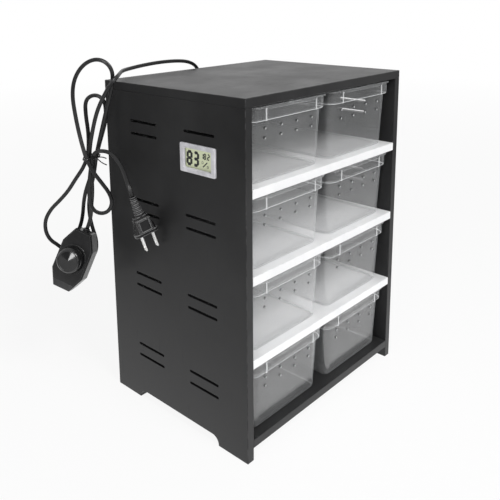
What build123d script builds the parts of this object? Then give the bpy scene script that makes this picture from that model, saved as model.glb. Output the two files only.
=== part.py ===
from build123d import *
import math
import os

# Frame: origin on the floor under the middle of the cabinet, +X to the right of
# the front, +Y to the back, +Z up. All lengths are in millimetres.

# Cabinet boards
CABINET_WIDTH = 269.0
CABINET_DEPTH = 205.0
CABINET_HEIGHT = 363.0
BOARD = 9.0
EDGE_BREAK = 0.4
FLOOR_CLEARANCE = 13.0
SHELF_COUNT = 3
SHELF_REAR_GAP = 1.0
FOOT_GAP_WIDTH = 125.0
FOOT_GAP_HEIGHT = 9.5
FOOT_GAP_RADIUS = 9.0

# Vent slots in the side panels
SLOT_LENGTH = 42.0
SLOT_WIDTH = 3.0
SLOT_PITCH = 13.5
SLOT_COLUMN_PITCH = 82.5
SLOT_FORWARD = 1.35
SLOT_RISE = 1.0

# Heating film on the back panel and the gland of its lead
FILM_WIDTH = 230.0
FILM_THICKNESS = 0.5
FILM_END_MARGIN = 12.0
GLAND_X = 14.0
GLAND_BAY = 2
GLAND_RISE = 22.5
GLAND_BARREL_RADIUS = 4.0
GLAND_FLANGE_RADIUS = 7.0
GLAND_FLANGE_THICKNESS = 2.0
GLAND_FIT = 0.1
TERMINAL_WIDTH = 34.0
TERMINAL_HEIGHT = 16.0
TERMINAL_THICKNESS = 3.6

# Breeding tubs, two to a bay
TUB_COLUMNS = 2
TUB_HEADROOM = 2.05
TUB_WALL = 1.2
TUB_SIDE_GAP = 3.25
TUB_FRONT_SETBACK = 2.7
TUB_REAR_GAP = 5.5
TUB_FLOOR_GAP = 0.2
TUB_CORNER_RADIUS = 10.0
TUB_FLOOR_RADIUS = 3.0
TUB_TAPER = 3.2
LIP_OVERHANG = 1.7
LIP_THICKNESS = 1.8
BAND_HEIGHT = 14.0
BAND_STEP = 2.6
RIB_OFFSET = 38.7
RIB_WIDTH = 1.4
RIB_HEIGHT = 1.0
PULL_SKIRT = 1.6
AIR_HOLE_DIAMETER = 2.8
AIR_HOLE_PITCH = 24.1
AIR_HOLE_COLUMNS = 4
AIR_HOLE_ROWS = 2
AIR_HOLE_ROW_PITCH = 9.5
AIR_HOLE_DROP = 7.3

# Thermometer and hygrometer set into the left side panel
METER_FROM_FRONT = 60.8
METER_RISE = 20.25
METER_WIDTH = 48.0
METER_HEIGHT = 28.8
METER_BEZEL = 2.2
METER_CORNER = 3.5
METER_LAP = 1.4
METER_FIT = 0.4
METER_WALL = 1.2
METER_FRAME_SIDE = 6.0
METER_FRAME_TOP = 4.9
METER_LENS = 0.8
METER_LCD = 1.8
METER_BOARD = 1.0
METER_BOARD_GAP = 0.6
PLATE_CORNER = 0.6
CELL_DIAMETER = 11.6
CELL_THICKNESS = 5.4
CELL_GAP = 8.4
DOOR_LAP = 1.7
DOOR_THICKNESS = 1.2
DOOR_FIT = 0.3

# Dimmer on the heater lead
DIMMER_ORIGIN = (-170.3, 125.9, 161.5)
DIMMER_LONG_AXIS = (-0.393, 0.156, -0.906)
DIMMER_FRONT = (-0.802, -0.541, 0.254)
DIMMER_LENGTH = 68.0
DIMMER_WIDTH = 38.0
DIMMER_END_WIDTH = 20.0
DIMMER_SIDE_LENGTH = 33.0
DIMMER_HALF_DEPTH = 9.0
DIMMER_WALL = 2.0
DIMMER_EDGE = 1.6
DIMMER_HEEL = 7.0
KNOB_X = -0.5
KNOB_RADIUS = 14.0
KNOB_DEPTH = 12.0
KNOB_GAP = 0.7
KNOB_WALL = 2.0
KNOB_DISH = 1.6
SHAFT_RADIUS = 3.0
SHAFT_FIT = 0.08
SHAFT_LENGTH = 15.0
POT_RADIUS = 8.0
POT_DEPTH = 8.5
POT_BUSH_RADIUS = 4.5
DIMMER_BOARD_GAP = 1.1
DIMMER_BOARD_WIDTH = 26.0
DIMMER_BOARD_THICKNESS = 1.6
SCREW_INSET = 13.0
SCREW_GRIP = 3.0
SCREW_RADIUS = 1.3
SCREW_HEAD_RADIUS = 2.6
SCREW_HEAD_THICKNESS = 1.6
SCREW_FIT = 0.05
BOSS_RADIUS = 3.4
BUSH_RADIUS = 3.8
BUSH_LENGTH = 2.5

# Leads, tie and plug
CORD_DIAMETER = 4.2
TIE_Z = 281.0
TIE_CLEARANCE = 1.2
TIE_THICKNESS = 0.9
TIE_HEIGHT = 2.4
TIE_WIRE_RADIUS = 0.6
TIE_TWIST = (-153.8, 97.3, 280.5)
TIE_ENDS = ((-146.6, 89.1, 272.5), (-147.3, 88.4, 280))
PLUG_TOP = (-157.9, 31.9, 251.0)
PLUG_AXIS = (1.7, -1.8, -7.6)
PLUG_BLADE_AXIS = (0.912, -0.280, 0.299)
RELIEF_LENGTH = 21.0
RELIEF_TOP_RADIUS = 3.2
RELIEF_END_RADIUS = 5.2
RELIEF_GROOVES = 5
RELIEF_GROOVE_WIDTH = 1.7
RELIEF_GROOVE_DEPTH = 1.0
PLUG_NECK_WIDTH = 15.0
PLUG_FACE_WIDTH = 25.0
PLUG_FACE_STEP = 0.8
PLUG_BODY_LENGTH = 17.0
PLUG_FACE_THICKNESS = 3.0
PLUG_DEPTH = 13.0
PLUG_GRIP_LENGTH = 14.0
PLUG_GRIP_WIDTH = 15.5
PLUG_GRIP_HEIGHT = 1.0
PLUG_GRIP_RIM = 1.4
PLUG_GRIP_SINK = 0.6
BLADE_SPACING = 12.7
BLADE_WIDTH = 6.3
BLADE_THICKNESS = 1.5
BLADE_LENGTH = 17.0
BLADE_HOLE_DIAMETER = 3.2
BLADE_HOLE_FROM_TIP = 4.6

# Values worked out from the sizes above
SIDE_HEIGHT = CABINET_HEIGHT - BOARD
FRONT_FACE = -CABINET_DEPTH / 2
BACK_FACE = CABINET_DEPTH / 2
INNER_WIDTH = CABINET_WIDTH - 2 * BOARD
LEFT_FACE = -CABINET_WIDTH / 2
BACK_INNER_FACE = BACK_FACE - BOARD
BAY_FLOOR = FLOOR_CLEARANCE + BOARD
BAY_HEIGHT = (SIDE_HEIGHT - BAY_FLOOR - SHELF_COUNT * BOARD) / (SHELF_COUNT + 1)
BAY_PITCH = BAY_HEIGHT + BOARD
TUB_LIP_WIDTH = (INNER_WIDTH / TUB_COLUMNS) - 2 * TUB_SIDE_GAP
TUB_HEIGHT = BAY_HEIGHT - TUB_FLOOR_GAP - TUB_HEADROOM
TUB_LIP_DEPTH = CABINET_DEPTH - BOARD - TUB_FRONT_SETBACK - TUB_REAR_GAP
TUB_FRONT = FRONT_FACE + TUB_FRONT_SETBACK
GLAND_Z = BAY_FLOOR + GLAND_BAY * BAY_PITCH + GLAND_RISE
METER_Y = FRONT_FACE + METER_FROM_FRONT
METER_Z = BAY_FLOOR + SHELF_COUNT * BAY_PITCH + METER_RISE
METER_CASE_WIDTH = METER_WIDTH - 2 * METER_LAP
METER_CASE_HEIGHT = METER_HEIGHT - 2 * METER_LAP
METER_WINDOW_WIDTH = METER_WIDTH - 2 * METER_FRAME_SIDE
METER_WINDOW_HEIGHT = METER_HEIGHT - 2 * METER_FRAME_TOP
CELL_SPACING = CELL_DIAMETER + CELL_GAP
HATCH_WIDTH = CELL_SPACING + CELL_DIAMETER - 2 * METER_WALL
HATCH_HEIGHT = CELL_DIAMETER
DOOR_WIDTH = HATCH_WIDTH + 2 * DOOR_LAP
DOOR_HEIGHT = HATCH_HEIGHT + 2 * DOOR_LAP
SCREW_OFFSET = DIMMER_LENGTH / 2 - SCREW_INSET
DIMMER_BOARD_LENGTH = 2 * (SCREW_OFFSET - BOSS_RADIUS - DIMMER_BOARD_GAP)

# The leads' routes. The heater lead leaves the gland, climbs behind the back
# panel, crosses the top's rear left corner and ends in the dimmer's upper end.
HEATER_ROUTE = [
    (14, 104.5, 215), (14, 113.5, 215), (14.5, 122, 221.5), (16, 124, 235), (17.5, 123, 256),
    (18.5, 119.5, 284), (18.5, 115.5, 312), (17.5, 112, 338), (16.5, 110.5, 353), (10, 110, 365),
    (-3, 110, 371.5), (-22, 110, 374), (-49, 110.5, 374.5), (-76.5, 110, 373), (-100, 105, 371.5),
    (-114.5, 96.5, 371.5), (-126, 85.5, 371), (-136.5, 75, 370), (-144, 72, 366.5),
    (-149.5, 74.5, 359.5), (-152.5, 80.5, 349), (-154, 88, 337.5), (-155, 94.5, 324),
    (-155.5, 100, 309), (-156, 104.5, 295), (-157, 106, 281), (-156, 105.5, 262),
    (-154.5, 107, 242), (-153.5, 112.5, 223), (-151.6, 118.5, 204.5), (-155.94, 120.2, 194.62),
]
# The mains lead starts at the dimmer's heel, turns up behind it, makes the
# hank's five bights through the tie and ends in the plug.
MAINS_ROUTE = [
    (-177.14, 134.85, 130.4), (-174.9, 138.7, 124), (-168.5, 145, 121.5), (-162.5, 150.5, 125.5),
    (-160.5, 151, 134.5), (-161, 149.5, 145), (-163, 149.5, 154.5), (-167, 151.5, 163),
    (-172.5, 156, 170.5), (-179.5, 160.5, 177.5), (-184, 162, 189), (-184.5, 160, 203.5),
    (-180.5, 152.5, 217), (-174.5, 143, 227.5), (-168.5, 133.5, 239.5), (-163.5, 126, 253),
    (-157.5, 117.5, 267), (-154, 113, 281), (-153.5, 111, 294.5), (-154, 110, 309.5),
    (-155.5, 110.5, 325.5), (-155.5, 110.5, 341), (-151, 106, 347.5), (-145, 100, 347.5),
    (-141, 95, 341), (-140.5, 94.5, 329.5), (-141, 96, 318), (-143, 99, 306.5),
    (-145.5, 102.5, 294), (-147.5, 106, 281), (-149, 111, 267), (-151, 117, 252),
    (-152.5, 124, 237), (-152, 130, 222.5), (-150.5, 135, 207.5), (-151.5, 139, 193.5),
    (-155.5, 143, 182), (-160.5, 146, 171.5), (-160.5, 143.5, 160), (-155.5, 136.5, 153),
    (-147.5, 128.5, 153), (-142, 124.5, 162.5), (-141, 125, 176.5), (-143.5, 128, 190.5),
    (-146.5, 128, 206.5), (-150, 123, 223), (-151, 115.5, 242), (-151, 107, 262),
    (-151, 102, 281), (-149, 98, 297), (-146, 94, 315), (-143.5, 89, 333.5), (-141.5, 83.5, 350),
    (-140.5, 79.5, 364), (-141, 79, 376), (-145, 84, 384.5), (-150.5, 92.5, 387.5),
    (-156.5, 102, 384), (-162, 110, 375), (-165.5, 115.5, 362), (-167, 116.5, 346.5),
    (-166.5, 114, 328), (-166, 110, 310), (-166, 104.5, 294.5), (-165.5, 99, 281),
    (-161, 94.5, 266.5), (-152, 91.5, 252), (-145.5, 88.5, 240.5), (-143, 87.5, 229),
    (-145.5, 91.5, 219), (-151.5, 98, 216), (-158, 104, 221), (-160.5, 105.5, 234.5),
    (-161, 103.5, 251), (-160, 100.9, 267), (-158, 99.5, 281), (-156, 95, 288.5),
    (-150.5, 85.5, 289.5), (-148.5, 76, 287), (-149, 65.5, 281.5), (-152, 53.5, 274.5),
    (-157.3, 41, 266.4), (-159.6, 33.7, 258.6), (-157.91, 31.91, 251.05),
]

parts = {}


def bay_floor(bay):
    """Height of a bay's floor; bay 0 is the lowest."""
    return BAY_FLOOR + bay * BAY_PITCH


def bay_centre(bay):
    return bay_floor(bay) + BAY_HEIGHT / 2


# Cabinet


def horizontal_board(width, depth, front, underside):
    """A flat board whose front edge lies at y = front."""
    board = Pos(0, front + depth / 2, underside + BOARD / 2) * Box(width, depth, BOARD)
    return board


def top_panel():
    board = horizontal_board(CABINET_WIDTH, CABINET_DEPTH, FRONT_FACE, SIDE_HEIGHT)
    return chamfer(board.edges(), EDGE_BREAK)


def inner_board(rear_gap, underside):
    depth = CABINET_DEPTH - BOARD - rear_gap
    board = horizontal_board(INNER_WIDTH, depth, FRONT_FACE, underside)
    front_edges = board.edges().filter_by(Axis.X).group_by(Axis.Y)[0]
    return chamfer(front_edges, EDGE_BREAK)


def slot_centres():
    """Places of the vent slots on a side panel, as (y, z)."""
    centres = []
    for bay in range(SHELF_COUNT + 1):
        for column in (-1, 1):
            for row in (-1, 1):
                y = column * SLOT_COLUMN_PITCH / 2 - SLOT_FORWARD
                z = bay_centre(bay) + SLOT_RISE + row * SLOT_PITCH / 2
                centres.append((y, z))
    return centres


def side_panel(side, meter_opening):
    """A side panel with feet and vent slots; the left one has the meter's opening."""
    outline = Pos(0, SIDE_HEIGHT / 2) * Rectangle(CABINET_DEPTH, SIDE_HEIGHT)
    foot_radius = min(FOOT_GAP_RADIUS, 0.95 * FOOT_GAP_HEIGHT)
    outline -= RectangleRounded(FOOT_GAP_WIDTH, 2 * FOOT_GAP_HEIGHT, foot_radius)
    opening_width = METER_CASE_WIDTH + 2 * METER_FIT
    opening_height = METER_CASE_HEIGHT + 2 * METER_FIT
    for y, z in slot_centres():
        beside = abs(y - METER_Y) < (opening_width + SLOT_LENGTH) / 2
        level = abs(z - METER_Z) < (opening_height + SLOT_WIDTH) / 2
        if not (meter_opening and beside and level):
            outline -= Pos(y, z) * SlotOverall(SLOT_LENGTH, SLOT_WIDTH)
    if meter_opening:
        outline -= Pos(METER_Y, METER_Z) * Rectangle(opening_width, opening_height)
    panel = extrude(Plane.YZ * outline, BOARD / 2, both=True)
    panel = Pos(side * (CABINET_WIDTH - BOARD) / 2, 0, 0) * panel
    uprights = panel.edges().filter_by(Axis.Z).group_by(Axis.Y)
    return chamfer(uprights[0] + uprights[-1], EDGE_BREAK)


def back_panel():
    height = SIDE_HEIGHT - FLOOR_CLEARANCE
    board = Pos(0, BACK_FACE - BOARD / 2, FLOOR_CLEARANCE + height / 2) * Box(
        INNER_WIDTH, BOARD, height
    )
    return board - gland_hole()


def gland_hole():
    axis = Pos(GLAND_X, BACK_FACE, GLAND_Z) * Rot(90, 0, 0)
    return axis * Cylinder(GLAND_BARREL_RADIUS + GLAND_FIT, 4 * BOARD)


def heating_film():
    height = SIDE_HEIGHT - BAY_FLOOR - 2 * FILM_END_MARGIN
    centre = Pos(0, BACK_INNER_FACE - FILM_THICKNESS / 2, BAY_FLOOR + FILM_END_MARGIN + height / 2)
    return centre * Box(FILM_WIDTH, FILM_THICKNESS, height) - gland_hole()


def film_terminal():
    """The moulded cover over the joint of the lead and the film."""
    front = BACK_INNER_FACE - FILM_THICKNESS - TERMINAL_THICKNESS
    cover = Pos(GLAND_X, front + TERMINAL_THICKNESS / 2, GLAND_Z) * Box(
        TERMINAL_WIDTH, TERMINAL_THICKNESS, TERMINAL_HEIGHT
    )
    return chamfer(cover.faces().sort_by(Axis.Y)[0].edges(), TERMINAL_THICKNESS / 3)


def lead_gland():
    barrel_length = BOARD + FILM_THICKNESS
    barrel_place = Pos(GLAND_X, BACK_FACE - barrel_length / 2, GLAND_Z) * Rot(90, 0, 0)
    flange_place = Pos(GLAND_X, BACK_FACE + GLAND_FLANGE_THICKNESS / 2, GLAND_Z) * Rot(90, 0, 0)
    barrel = barrel_place * Cylinder(GLAND_BARREL_RADIUS, barrel_length)
    flange = flange_place * Cylinder(GLAND_FLANGE_RADIUS, GLAND_FLANGE_THICKNESS)
    rim = flange.faces().sort_by(Axis.Y)[-1].edges()
    return barrel + chamfer(rim, GLAND_FLANGE_THICKNESS / 3)


parts["top_panel"] = top_panel()
parts["bottom_panel"] = inner_board(0, FLOOR_CLEARANCE)
parts["left_side_panel"] = side_panel(-1, True)
parts["right_side_panel"] = side_panel(1, False)
parts["back_panel"] = back_panel()
for shelf in range(SHELF_COUNT):
    parts[f"shelf_{shelf + 1}"] = inner_board(SHELF_REAR_GAP, bay_floor(shelf) + BAY_HEIGHT)
parts["heating_film"] = heating_film()
parts["film_terminal"] = film_terminal()
parts["lead_gland"] = lead_gland()


# Tubs


def tub_stage(inset, base, height, spread=0.0, wall=0.0):
    """A rounded block of the tub's plan, drawn in by inset, which spreads as it rises."""
    width = TUB_LIP_WIDTH - 2 * (inset + wall)
    depth = TUB_LIP_DEPTH - 2 * (inset + wall)
    radius = TUB_CORNER_RADIUS - (inset + spread) / 4 - wall
    plan = Pos(0, 0, base) * RectangleRounded(width, depth, radius)
    return extrude(plan, height, taper=-math.degrees(math.atan(spread / height)))


def tub():
    """One tub with its floor's centre at the origin and its front towards -Y."""
    ledge = TUB_HEIGHT - BAND_HEIGHT
    band_inset = LIP_OVERHANG
    body_inset = band_inset + BAND_STEP
    floor_inset = body_inset + TUB_TAPER
    body = tub_stage(floor_inset, 0, ledge, TUB_TAPER)
    body = fillet(body.faces().sort_by(Axis.Z)[0].edges(), TUB_FLOOR_RADIUS)
    shell = body + tub_stage(band_inset, ledge, BAND_HEIGHT)
    shell += tub_stage(0, TUB_HEIGHT - LIP_THICKNESS, LIP_THICKNESS)
    front = -TUB_LIP_DEPTH / 2 + band_inset
    rib_rise = BAND_HEIGHT - LIP_THICKNESS
    for end in (-1, 1):
        for x in (-RIB_OFFSET, RIB_OFFSET):
            rib = Box(RIB_WIDTH, 2 * RIB_HEIGHT, rib_rise)
            shell += Pos(x, end * front, ledge + rib_rise / 2) * rib
    skirt = Box(2 * RIB_OFFSET, LIP_OVERHANG, PULL_SKIRT)
    skirt_z = TUB_HEIGHT - LIP_THICKNESS - PULL_SKIRT / 2
    shell += Pos(0, front - LIP_OVERHANG / 2, skirt_z) * skirt
    hollow = tub_stage(floor_inset, TUB_WALL, ledge, TUB_TAPER, TUB_WALL)
    hollow = fillet(hollow.faces().sort_by(Axis.Z)[0].edges(), TUB_FLOOR_RADIUS - TUB_WALL)
    hollow += tub_stage(band_inset, ledge + TUB_WALL, BAND_HEIGHT, wall=TUB_WALL)
    shell -= hollow
    for row in range(AIR_HOLE_ROWS):
        z = ledge - AIR_HOLE_DROP - row * AIR_HOLE_ROW_PITCH
        for column in range(AIR_HOLE_COLUMNS):
            x = (column - (AIR_HOLE_COLUMNS - 1) / 2) * AIR_HOLE_PITCH
            drill = Rot(90, 0, 0) * Cylinder(AIR_HOLE_DIAMETER / 2, 4 * TUB_TAPER)
            shell -= Pos(x, front + BAND_STEP, z) * drill
    return shell


one_tub = tub()
for bay in range(SHELF_COUNT + 1):
    for column in range(TUB_COLUMNS):
        x = (column - (TUB_COLUMNS - 1) / 2) * INNER_WIDTH / TUB_COLUMNS
        place = Pos(x, TUB_FRONT + TUB_LIP_DEPTH / 2, bay_floor(bay) + TUB_FLOOR_GAP)
        parts[f"tub_row{bay + 1}_{('left', 'right')[column]}"] = place * one_tub


# Thermometer and hygrometer. Its own frame lies on the left panel's outer face:
# x to the front of the cabinet, y up and z out of the panel.

METER_PLANE = Plane(origin=(LEFT_FACE, METER_Y, METER_Z), x_dir=(0, -1, 0), z_dir=(-1, 0, 0))
METER_CELL_BACK = METER_LENS + METER_LCD + METER_BOARD + CELL_THICKNESS
METER_CASE_DEPTH = METER_CELL_BACK + METER_WALL


def layer(width, height, front, thickness, corner=PLATE_CORNER):
    """A rounded plate whose front face lies at z = front."""
    plate = RectangleRounded(width, height, corner)
    return Pos(0, 0, front - thickness) * extrude(plate, thickness)


def meter_bezel():
    plate = layer(METER_WIDTH, METER_HEIGHT, METER_BEZEL, METER_BEZEL, METER_CORNER)
    plate = fillet(plate.faces().sort_by(Axis.Z)[-1].edges(), METER_BEZEL / 2)
    return plate - layer(METER_WINDOW_WIDTH, METER_WINDOW_HEIGHT, METER_BEZEL, METER_BEZEL)


def meter_case():
    case = layer(METER_CASE_WIDTH, METER_CASE_HEIGHT, 0, METER_CASE_DEPTH)
    inner_width = METER_CASE_WIDTH - 2 * METER_WALL
    inner_height = METER_CASE_HEIGHT - 2 * METER_WALL
    case -= layer(inner_width, inner_height, 0, METER_CELL_BACK)
    case -= layer(HATCH_WIDTH, HATCH_HEIGHT, 0, METER_CASE_DEPTH)
    rail_y = DOOR_HEIGHT / 2 + DOOR_FIT + METER_WALL / 2
    rail = Box(inner_width, METER_WALL, DOOR_THICKNESS)
    for y in (-rail_y, rail_y):
        case += Pos(0, y, -METER_CASE_DEPTH - DOOR_THICKNESS / 2) * rail
    return case


def meter_cells():
    cell = Cylinder(CELL_DIAMETER / 2, CELL_THICKNESS)
    z = -METER_CELL_BACK + CELL_THICKNESS / 2
    return [Pos(x, 0, z) * cell for x in (-CELL_SPACING / 2, CELL_SPACING / 2)]


lens_width = METER_WINDOW_WIDTH + 2 * METER_WALL
lens_height = METER_WINDOW_HEIGHT + 2 * METER_WALL
lcd_front = -METER_LENS
board_front = lcd_front - METER_LCD
parts["meter_bezel"] = METER_PLANE * meter_bezel()
parts["meter_lens"] = METER_PLANE * layer(lens_width, lens_height, 0, METER_LENS)
parts["meter_display"] = METER_PLANE * layer(lens_width, lens_height, lcd_front, METER_LCD)
board_inset = METER_WALL + METER_BOARD_GAP
parts["meter_circuit_board"] = METER_PLANE * layer(
    METER_CASE_WIDTH - 2 * board_inset, METER_CASE_HEIGHT - 2 * board_inset, board_front, METER_BOARD
)
parts["meter_case"] = METER_PLANE * meter_case()
parts["meter_button_cells"] = Compound([METER_PLANE * cell for cell in meter_cells()])
parts["meter_battery_door"] = METER_PLANE * layer(
    DOOR_WIDTH, DOOR_HEIGHT, -METER_CASE_DEPTH, DOOR_THICKNESS
)


# Dimmer. Its own frame: x along the housing towards the heel, z out of the front.

DIMMER_PLANE = Plane(origin=DIMMER_ORIGIN, x_dir=DIMMER_LONG_AXIS, z_dir=DIMMER_FRONT)
POT_FRONT = DIMMER_HALF_DEPTH - DIMMER_WALL
POT_BACK = POT_FRONT - POT_DEPTH
KNOB_BASE = DIMMER_HALF_DEPTH + KNOB_GAP
HUB_RADIUS = SHAFT_RADIUS + KNOB_WALL
SHAFT_TOP = KNOB_BASE + KNOB_DEPTH - KNOB_DISH - 2 * KNOB_WALL


def dimmer_outline(inset=0.0):
    """The eight-sided outline of the housing."""
    end = DIMMER_LENGTH / 2
    side = DIMMER_WIDTH / 2
    half_end = DIMMER_END_WIDTH / 2
    half_side = DIMMER_SIDE_LENGTH / 2
    corners = [
        (end, -half_end), (end, half_end), (half_side, side), (-half_side, side),
        (-end, half_end), (-end, -half_end), (-half_side, -side), (half_side, -side),
    ]
    face = make_face(Polyline(*corners, close=True))
    return offset(face, -inset) if inset else face


def dimmer_front_shell():
    shell = extrude(dimmer_outline(), DIMMER_HALF_DEPTH)
    shell = chamfer(shell.faces().sort_by(Axis.Z)[-1].edges(), DIMMER_EDGE)
    shell -= extrude(dimmer_outline(DIMMER_WALL), POT_FRONT)
    for x in (-SCREW_OFFSET, SCREW_OFFSET):
        boss = Pos(x, 0, POT_FRONT / 2) * Cylinder(BOSS_RADIUS, POT_FRONT)
        shell += boss - Pos(x, 0, 0) * Cylinder(SCREW_RADIUS + SCREW_FIT, 2 * SCREW_GRIP)
    return shell - Pos(KNOB_X, 0, 0) * Cylinder(POT_BUSH_RADIUS + SHAFT_FIT, 4 * DIMMER_HALF_DEPTH)


def dimmer_heel_cut():
    """The slope under the lower end, which the mains lead leaves at right angles."""
    size = 2 * DIMMER_HALF_DEPTH + DIMMER_HEEL
    edge = Pos(DIMMER_LENGTH / 2 - DIMMER_HEEL / 2, 0, -DIMMER_HALF_DEPTH + DIMMER_HEEL / 2)
    return edge * Rot(0, 135, 0) * Pos(0, 0, size / 2) * Box(2 * size, 2 * size, size)


def dimmer_back_shell():
    shell = Pos(0, 0, -DIMMER_HALF_DEPTH) * extrude(dimmer_outline(), DIMMER_HALF_DEPTH)
    shell = chamfer(shell.faces().sort_by(Axis.Z)[0].edges(), DIMMER_EDGE)
    hollow = Pos(0, 0, -POT_FRONT) * extrude(dimmer_outline(DIMMER_WALL), POT_FRONT)
    heel = DIMMER_HEEL + DIMMER_WALL
    hollow -= Pos(DIMMER_LENGTH / 2, 0, 0) * Box(2 * heel, 2 * DIMMER_WIDTH, 4 * DIMMER_HALF_DEPTH)
    shell -= hollow
    for x in (-SCREW_OFFSET, SCREW_OFFSET):
        shell += Pos(x, 0, -DIMMER_HALF_DEPTH / 2) * Cylinder(BOSS_RADIUS, DIMMER_HALF_DEPTH)
        shell -= Pos(x, 0, 0) * Cylinder(SCREW_RADIUS + SCREW_FIT, 4 * DIMMER_HALF_DEPTH)
        shell -= Pos(x, 0, -DIMMER_HALF_DEPTH) * Cylinder(
            SCREW_HEAD_RADIUS + SCREW_FIT, 2 * SCREW_HEAD_THICKNESS
        )
    return shell - dimmer_heel_cut()


def dimmer_screws():
    """Two screws put in from the back, whose heads lie flush."""
    length = DIMMER_HALF_DEPTH + SCREW_GRIP
    shank = Pos(0, 0, -DIMMER_HALF_DEPTH + length / 2) * Cylinder(SCREW_RADIUS, length)
    head = Pos(0, 0, -DIMMER_HALF_DEPTH + SCREW_HEAD_THICKNESS / 2) * Cylinder(
        SCREW_HEAD_RADIUS, SCREW_HEAD_THICKNESS
    )
    return [Pos(x, 0, 0) * (shank + head) for x in (-SCREW_OFFSET, SCREW_OFFSET)]


def potentiometer():
    body = Pos(KNOB_X, 0, POT_BACK + POT_DEPTH / 2) * Cylinder(POT_RADIUS, POT_DEPTH)
    bush_length = DIMMER_WALL + KNOB_GAP / 2
    bush = Pos(KNOB_X, 0, POT_FRONT + bush_length / 2) * Cylinder(POT_BUSH_RADIUS, bush_length)
    bore = Cylinder(SHAFT_RADIUS + SHAFT_FIT, SHAFT_LENGTH + 2 * SHAFT_FIT)
    return body + bush - Pos(KNOB_X, 0, SHAFT_TOP - SHAFT_LENGTH / 2) * bore


def dimmer_shaft():
    return Pos(KNOB_X, 0, SHAFT_TOP - SHAFT_LENGTH / 2) * Cylinder(SHAFT_RADIUS, SHAFT_LENGTH)


def dimmer_board():
    z = POT_BACK - DIMMER_BOARD_THICKNESS / 2
    return Pos(0, 0, z) * Box(DIMMER_BOARD_LENGTH, DIMMER_BOARD_WIDTH, DIMMER_BOARD_THICKNESS)


def dimmer_knob():
    """A round knob, hollow below, with a dished top and a hub for the shaft."""
    top = KNOB_BASE + KNOB_DEPTH
    rim = KNOB_RADIUS - KNOB_WALL
    half_section = make_face(
        Polyline(
            (SHAFT_RADIUS, KNOB_BASE), (HUB_RADIUS, KNOB_BASE),
            (HUB_RADIUS, SHAFT_TOP), (rim, SHAFT_TOP), (rim, KNOB_BASE),
            (KNOB_RADIUS, KNOB_BASE), (KNOB_RADIUS, top - KNOB_WALL / 2),
            (KNOB_RADIUS - KNOB_WALL / 2, top), (0, top - KNOB_DISH),
            (0, SHAFT_TOP), (SHAFT_RADIUS, SHAFT_TOP), close=True,
        )
    )
    return Pos(KNOB_X, 0, 0) * revolve(Plane.XZ * half_section, Axis.Z)


def dimmer_bushes():
    """The two short bushes that the leads pass through."""
    bush = Pos(0, 0, BUSH_LENGTH / 2) * Cylinder(BUSH_RADIUS, BUSH_LENGTH)
    upper = Pos(-DIMMER_LENGTH / 2, 0, 0) * Rot(0, -90, 0) * bush
    heel = Pos(DIMMER_LENGTH / 2 - DIMMER_HEEL / 2, 0, -DIMMER_HALF_DEPTH + DIMMER_HEEL / 2)
    return [upper, heel * Rot(0, 135, 0) * bush]


parts["dimmer_front_shell"] = DIMMER_PLANE * dimmer_front_shell()
parts["dimmer_back_shell"] = DIMMER_PLANE * dimmer_back_shell()
parts["dimmer_screws"] = Compound([DIMMER_PLANE * screw for screw in dimmer_screws()])
parts["dimmer_potentiometer"] = DIMMER_PLANE * potentiometer()
parts["dimmer_shaft"] = DIMMER_PLANE * dimmer_shaft()
parts["dimmer_circuit_board"] = DIMMER_PLANE * dimmer_board()
parts["dimmer_knob"] = DIMMER_PLANE * dimmer_knob()
parts["dimmer_bushes"] = Compound([DIMMER_PLANE * bush for bush in dimmer_bushes()])


# Leads


def route_radii(points):
    """The largest tangent arc that each corner of a route has room for."""
    radii = []
    for before, corner, after in zip(points, points[1:], points[2:]):
        into = Vector(*corner) - Vector(*before)
        out = Vector(*after) - Vector(*corner)
        half_turn = math.radians(into.get_angle(out)) / 2
        radii.append(0.45 * min(into.length, out.length) / math.tan(half_turn))
    return radii


def least_gap(path, diameter):
    """The narrowest space between two stretches of one cord, surface to surface."""
    count = int(path.length / (diameter / 4))
    places = [path @ (i / count) for i in range(count + 1)]
    skip = int(6 * diameter / (path.length / count))
    gap = min(
        (places[i] - places[j]).length
        for i in range(len(places))
        for j in range(i + skip, len(places))
    )
    return gap - diameter


def lead(name, points):
    """A round cord along a route of straight runs joined by tangent arcs."""
    radii = route_radii(points)
    path = FilletPolyline(*points, radius=radii)
    section = Plane(origin=path @ 0, z_dir=path % 0) * Circle(CORD_DIAMETER / 2)
    cord = sweep(section, path=path)
    expected = math.pi * CORD_DIAMETER**2 / 4 * path.length
    print(name, "length", round(path.length, 1), "volume ratio", round(cord.volume / expected, 4))
    print("  radii", [round(radius, 1) for radius in radii])
    print("  least gap to itself", round(least_gap(path, CORD_DIAMETER), 2))
    return cord


def wire(start, end, radius):
    """A straight piece of wire between two points."""
    run = Vector(*end) - Vector(*start)
    return extrude(Plane(origin=start, z_dir=run) * Circle(radius), run.length)


def twist_tie():
    """A band drawn round the strands that cross its height, with two wire ends."""
    strands = [point for point in HEATER_ROUTE + MAINS_ROUTE if point[2] == TIE_Z]

    def hull(clearance):
        rings = [Pos(x, y) * Edge.make_circle(CORD_DIAMETER / 2 + clearance) for x, y, z in strands]
        return make_hull(rings)

    band = extrude(hull(TIE_CLEARANCE + TIE_THICKNESS), TIE_HEIGHT)
    band -= extrude(hull(TIE_CLEARANCE), TIE_HEIGHT)
    tie = Pos(0, 0, TIE_Z - TIE_HEIGHT / 2) * band
    for end in TIE_ENDS:
        tie += wire(TIE_TWIST, end, TIE_WIRE_RADIUS)
    return tie


parts["heater_lead"] = lead("heater_lead", HEATER_ROUTE)
parts["mains_lead"] = lead("mains_lead", MAINS_ROUTE)
parts["twist_tie"] = twist_tie()


# Plug


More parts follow.
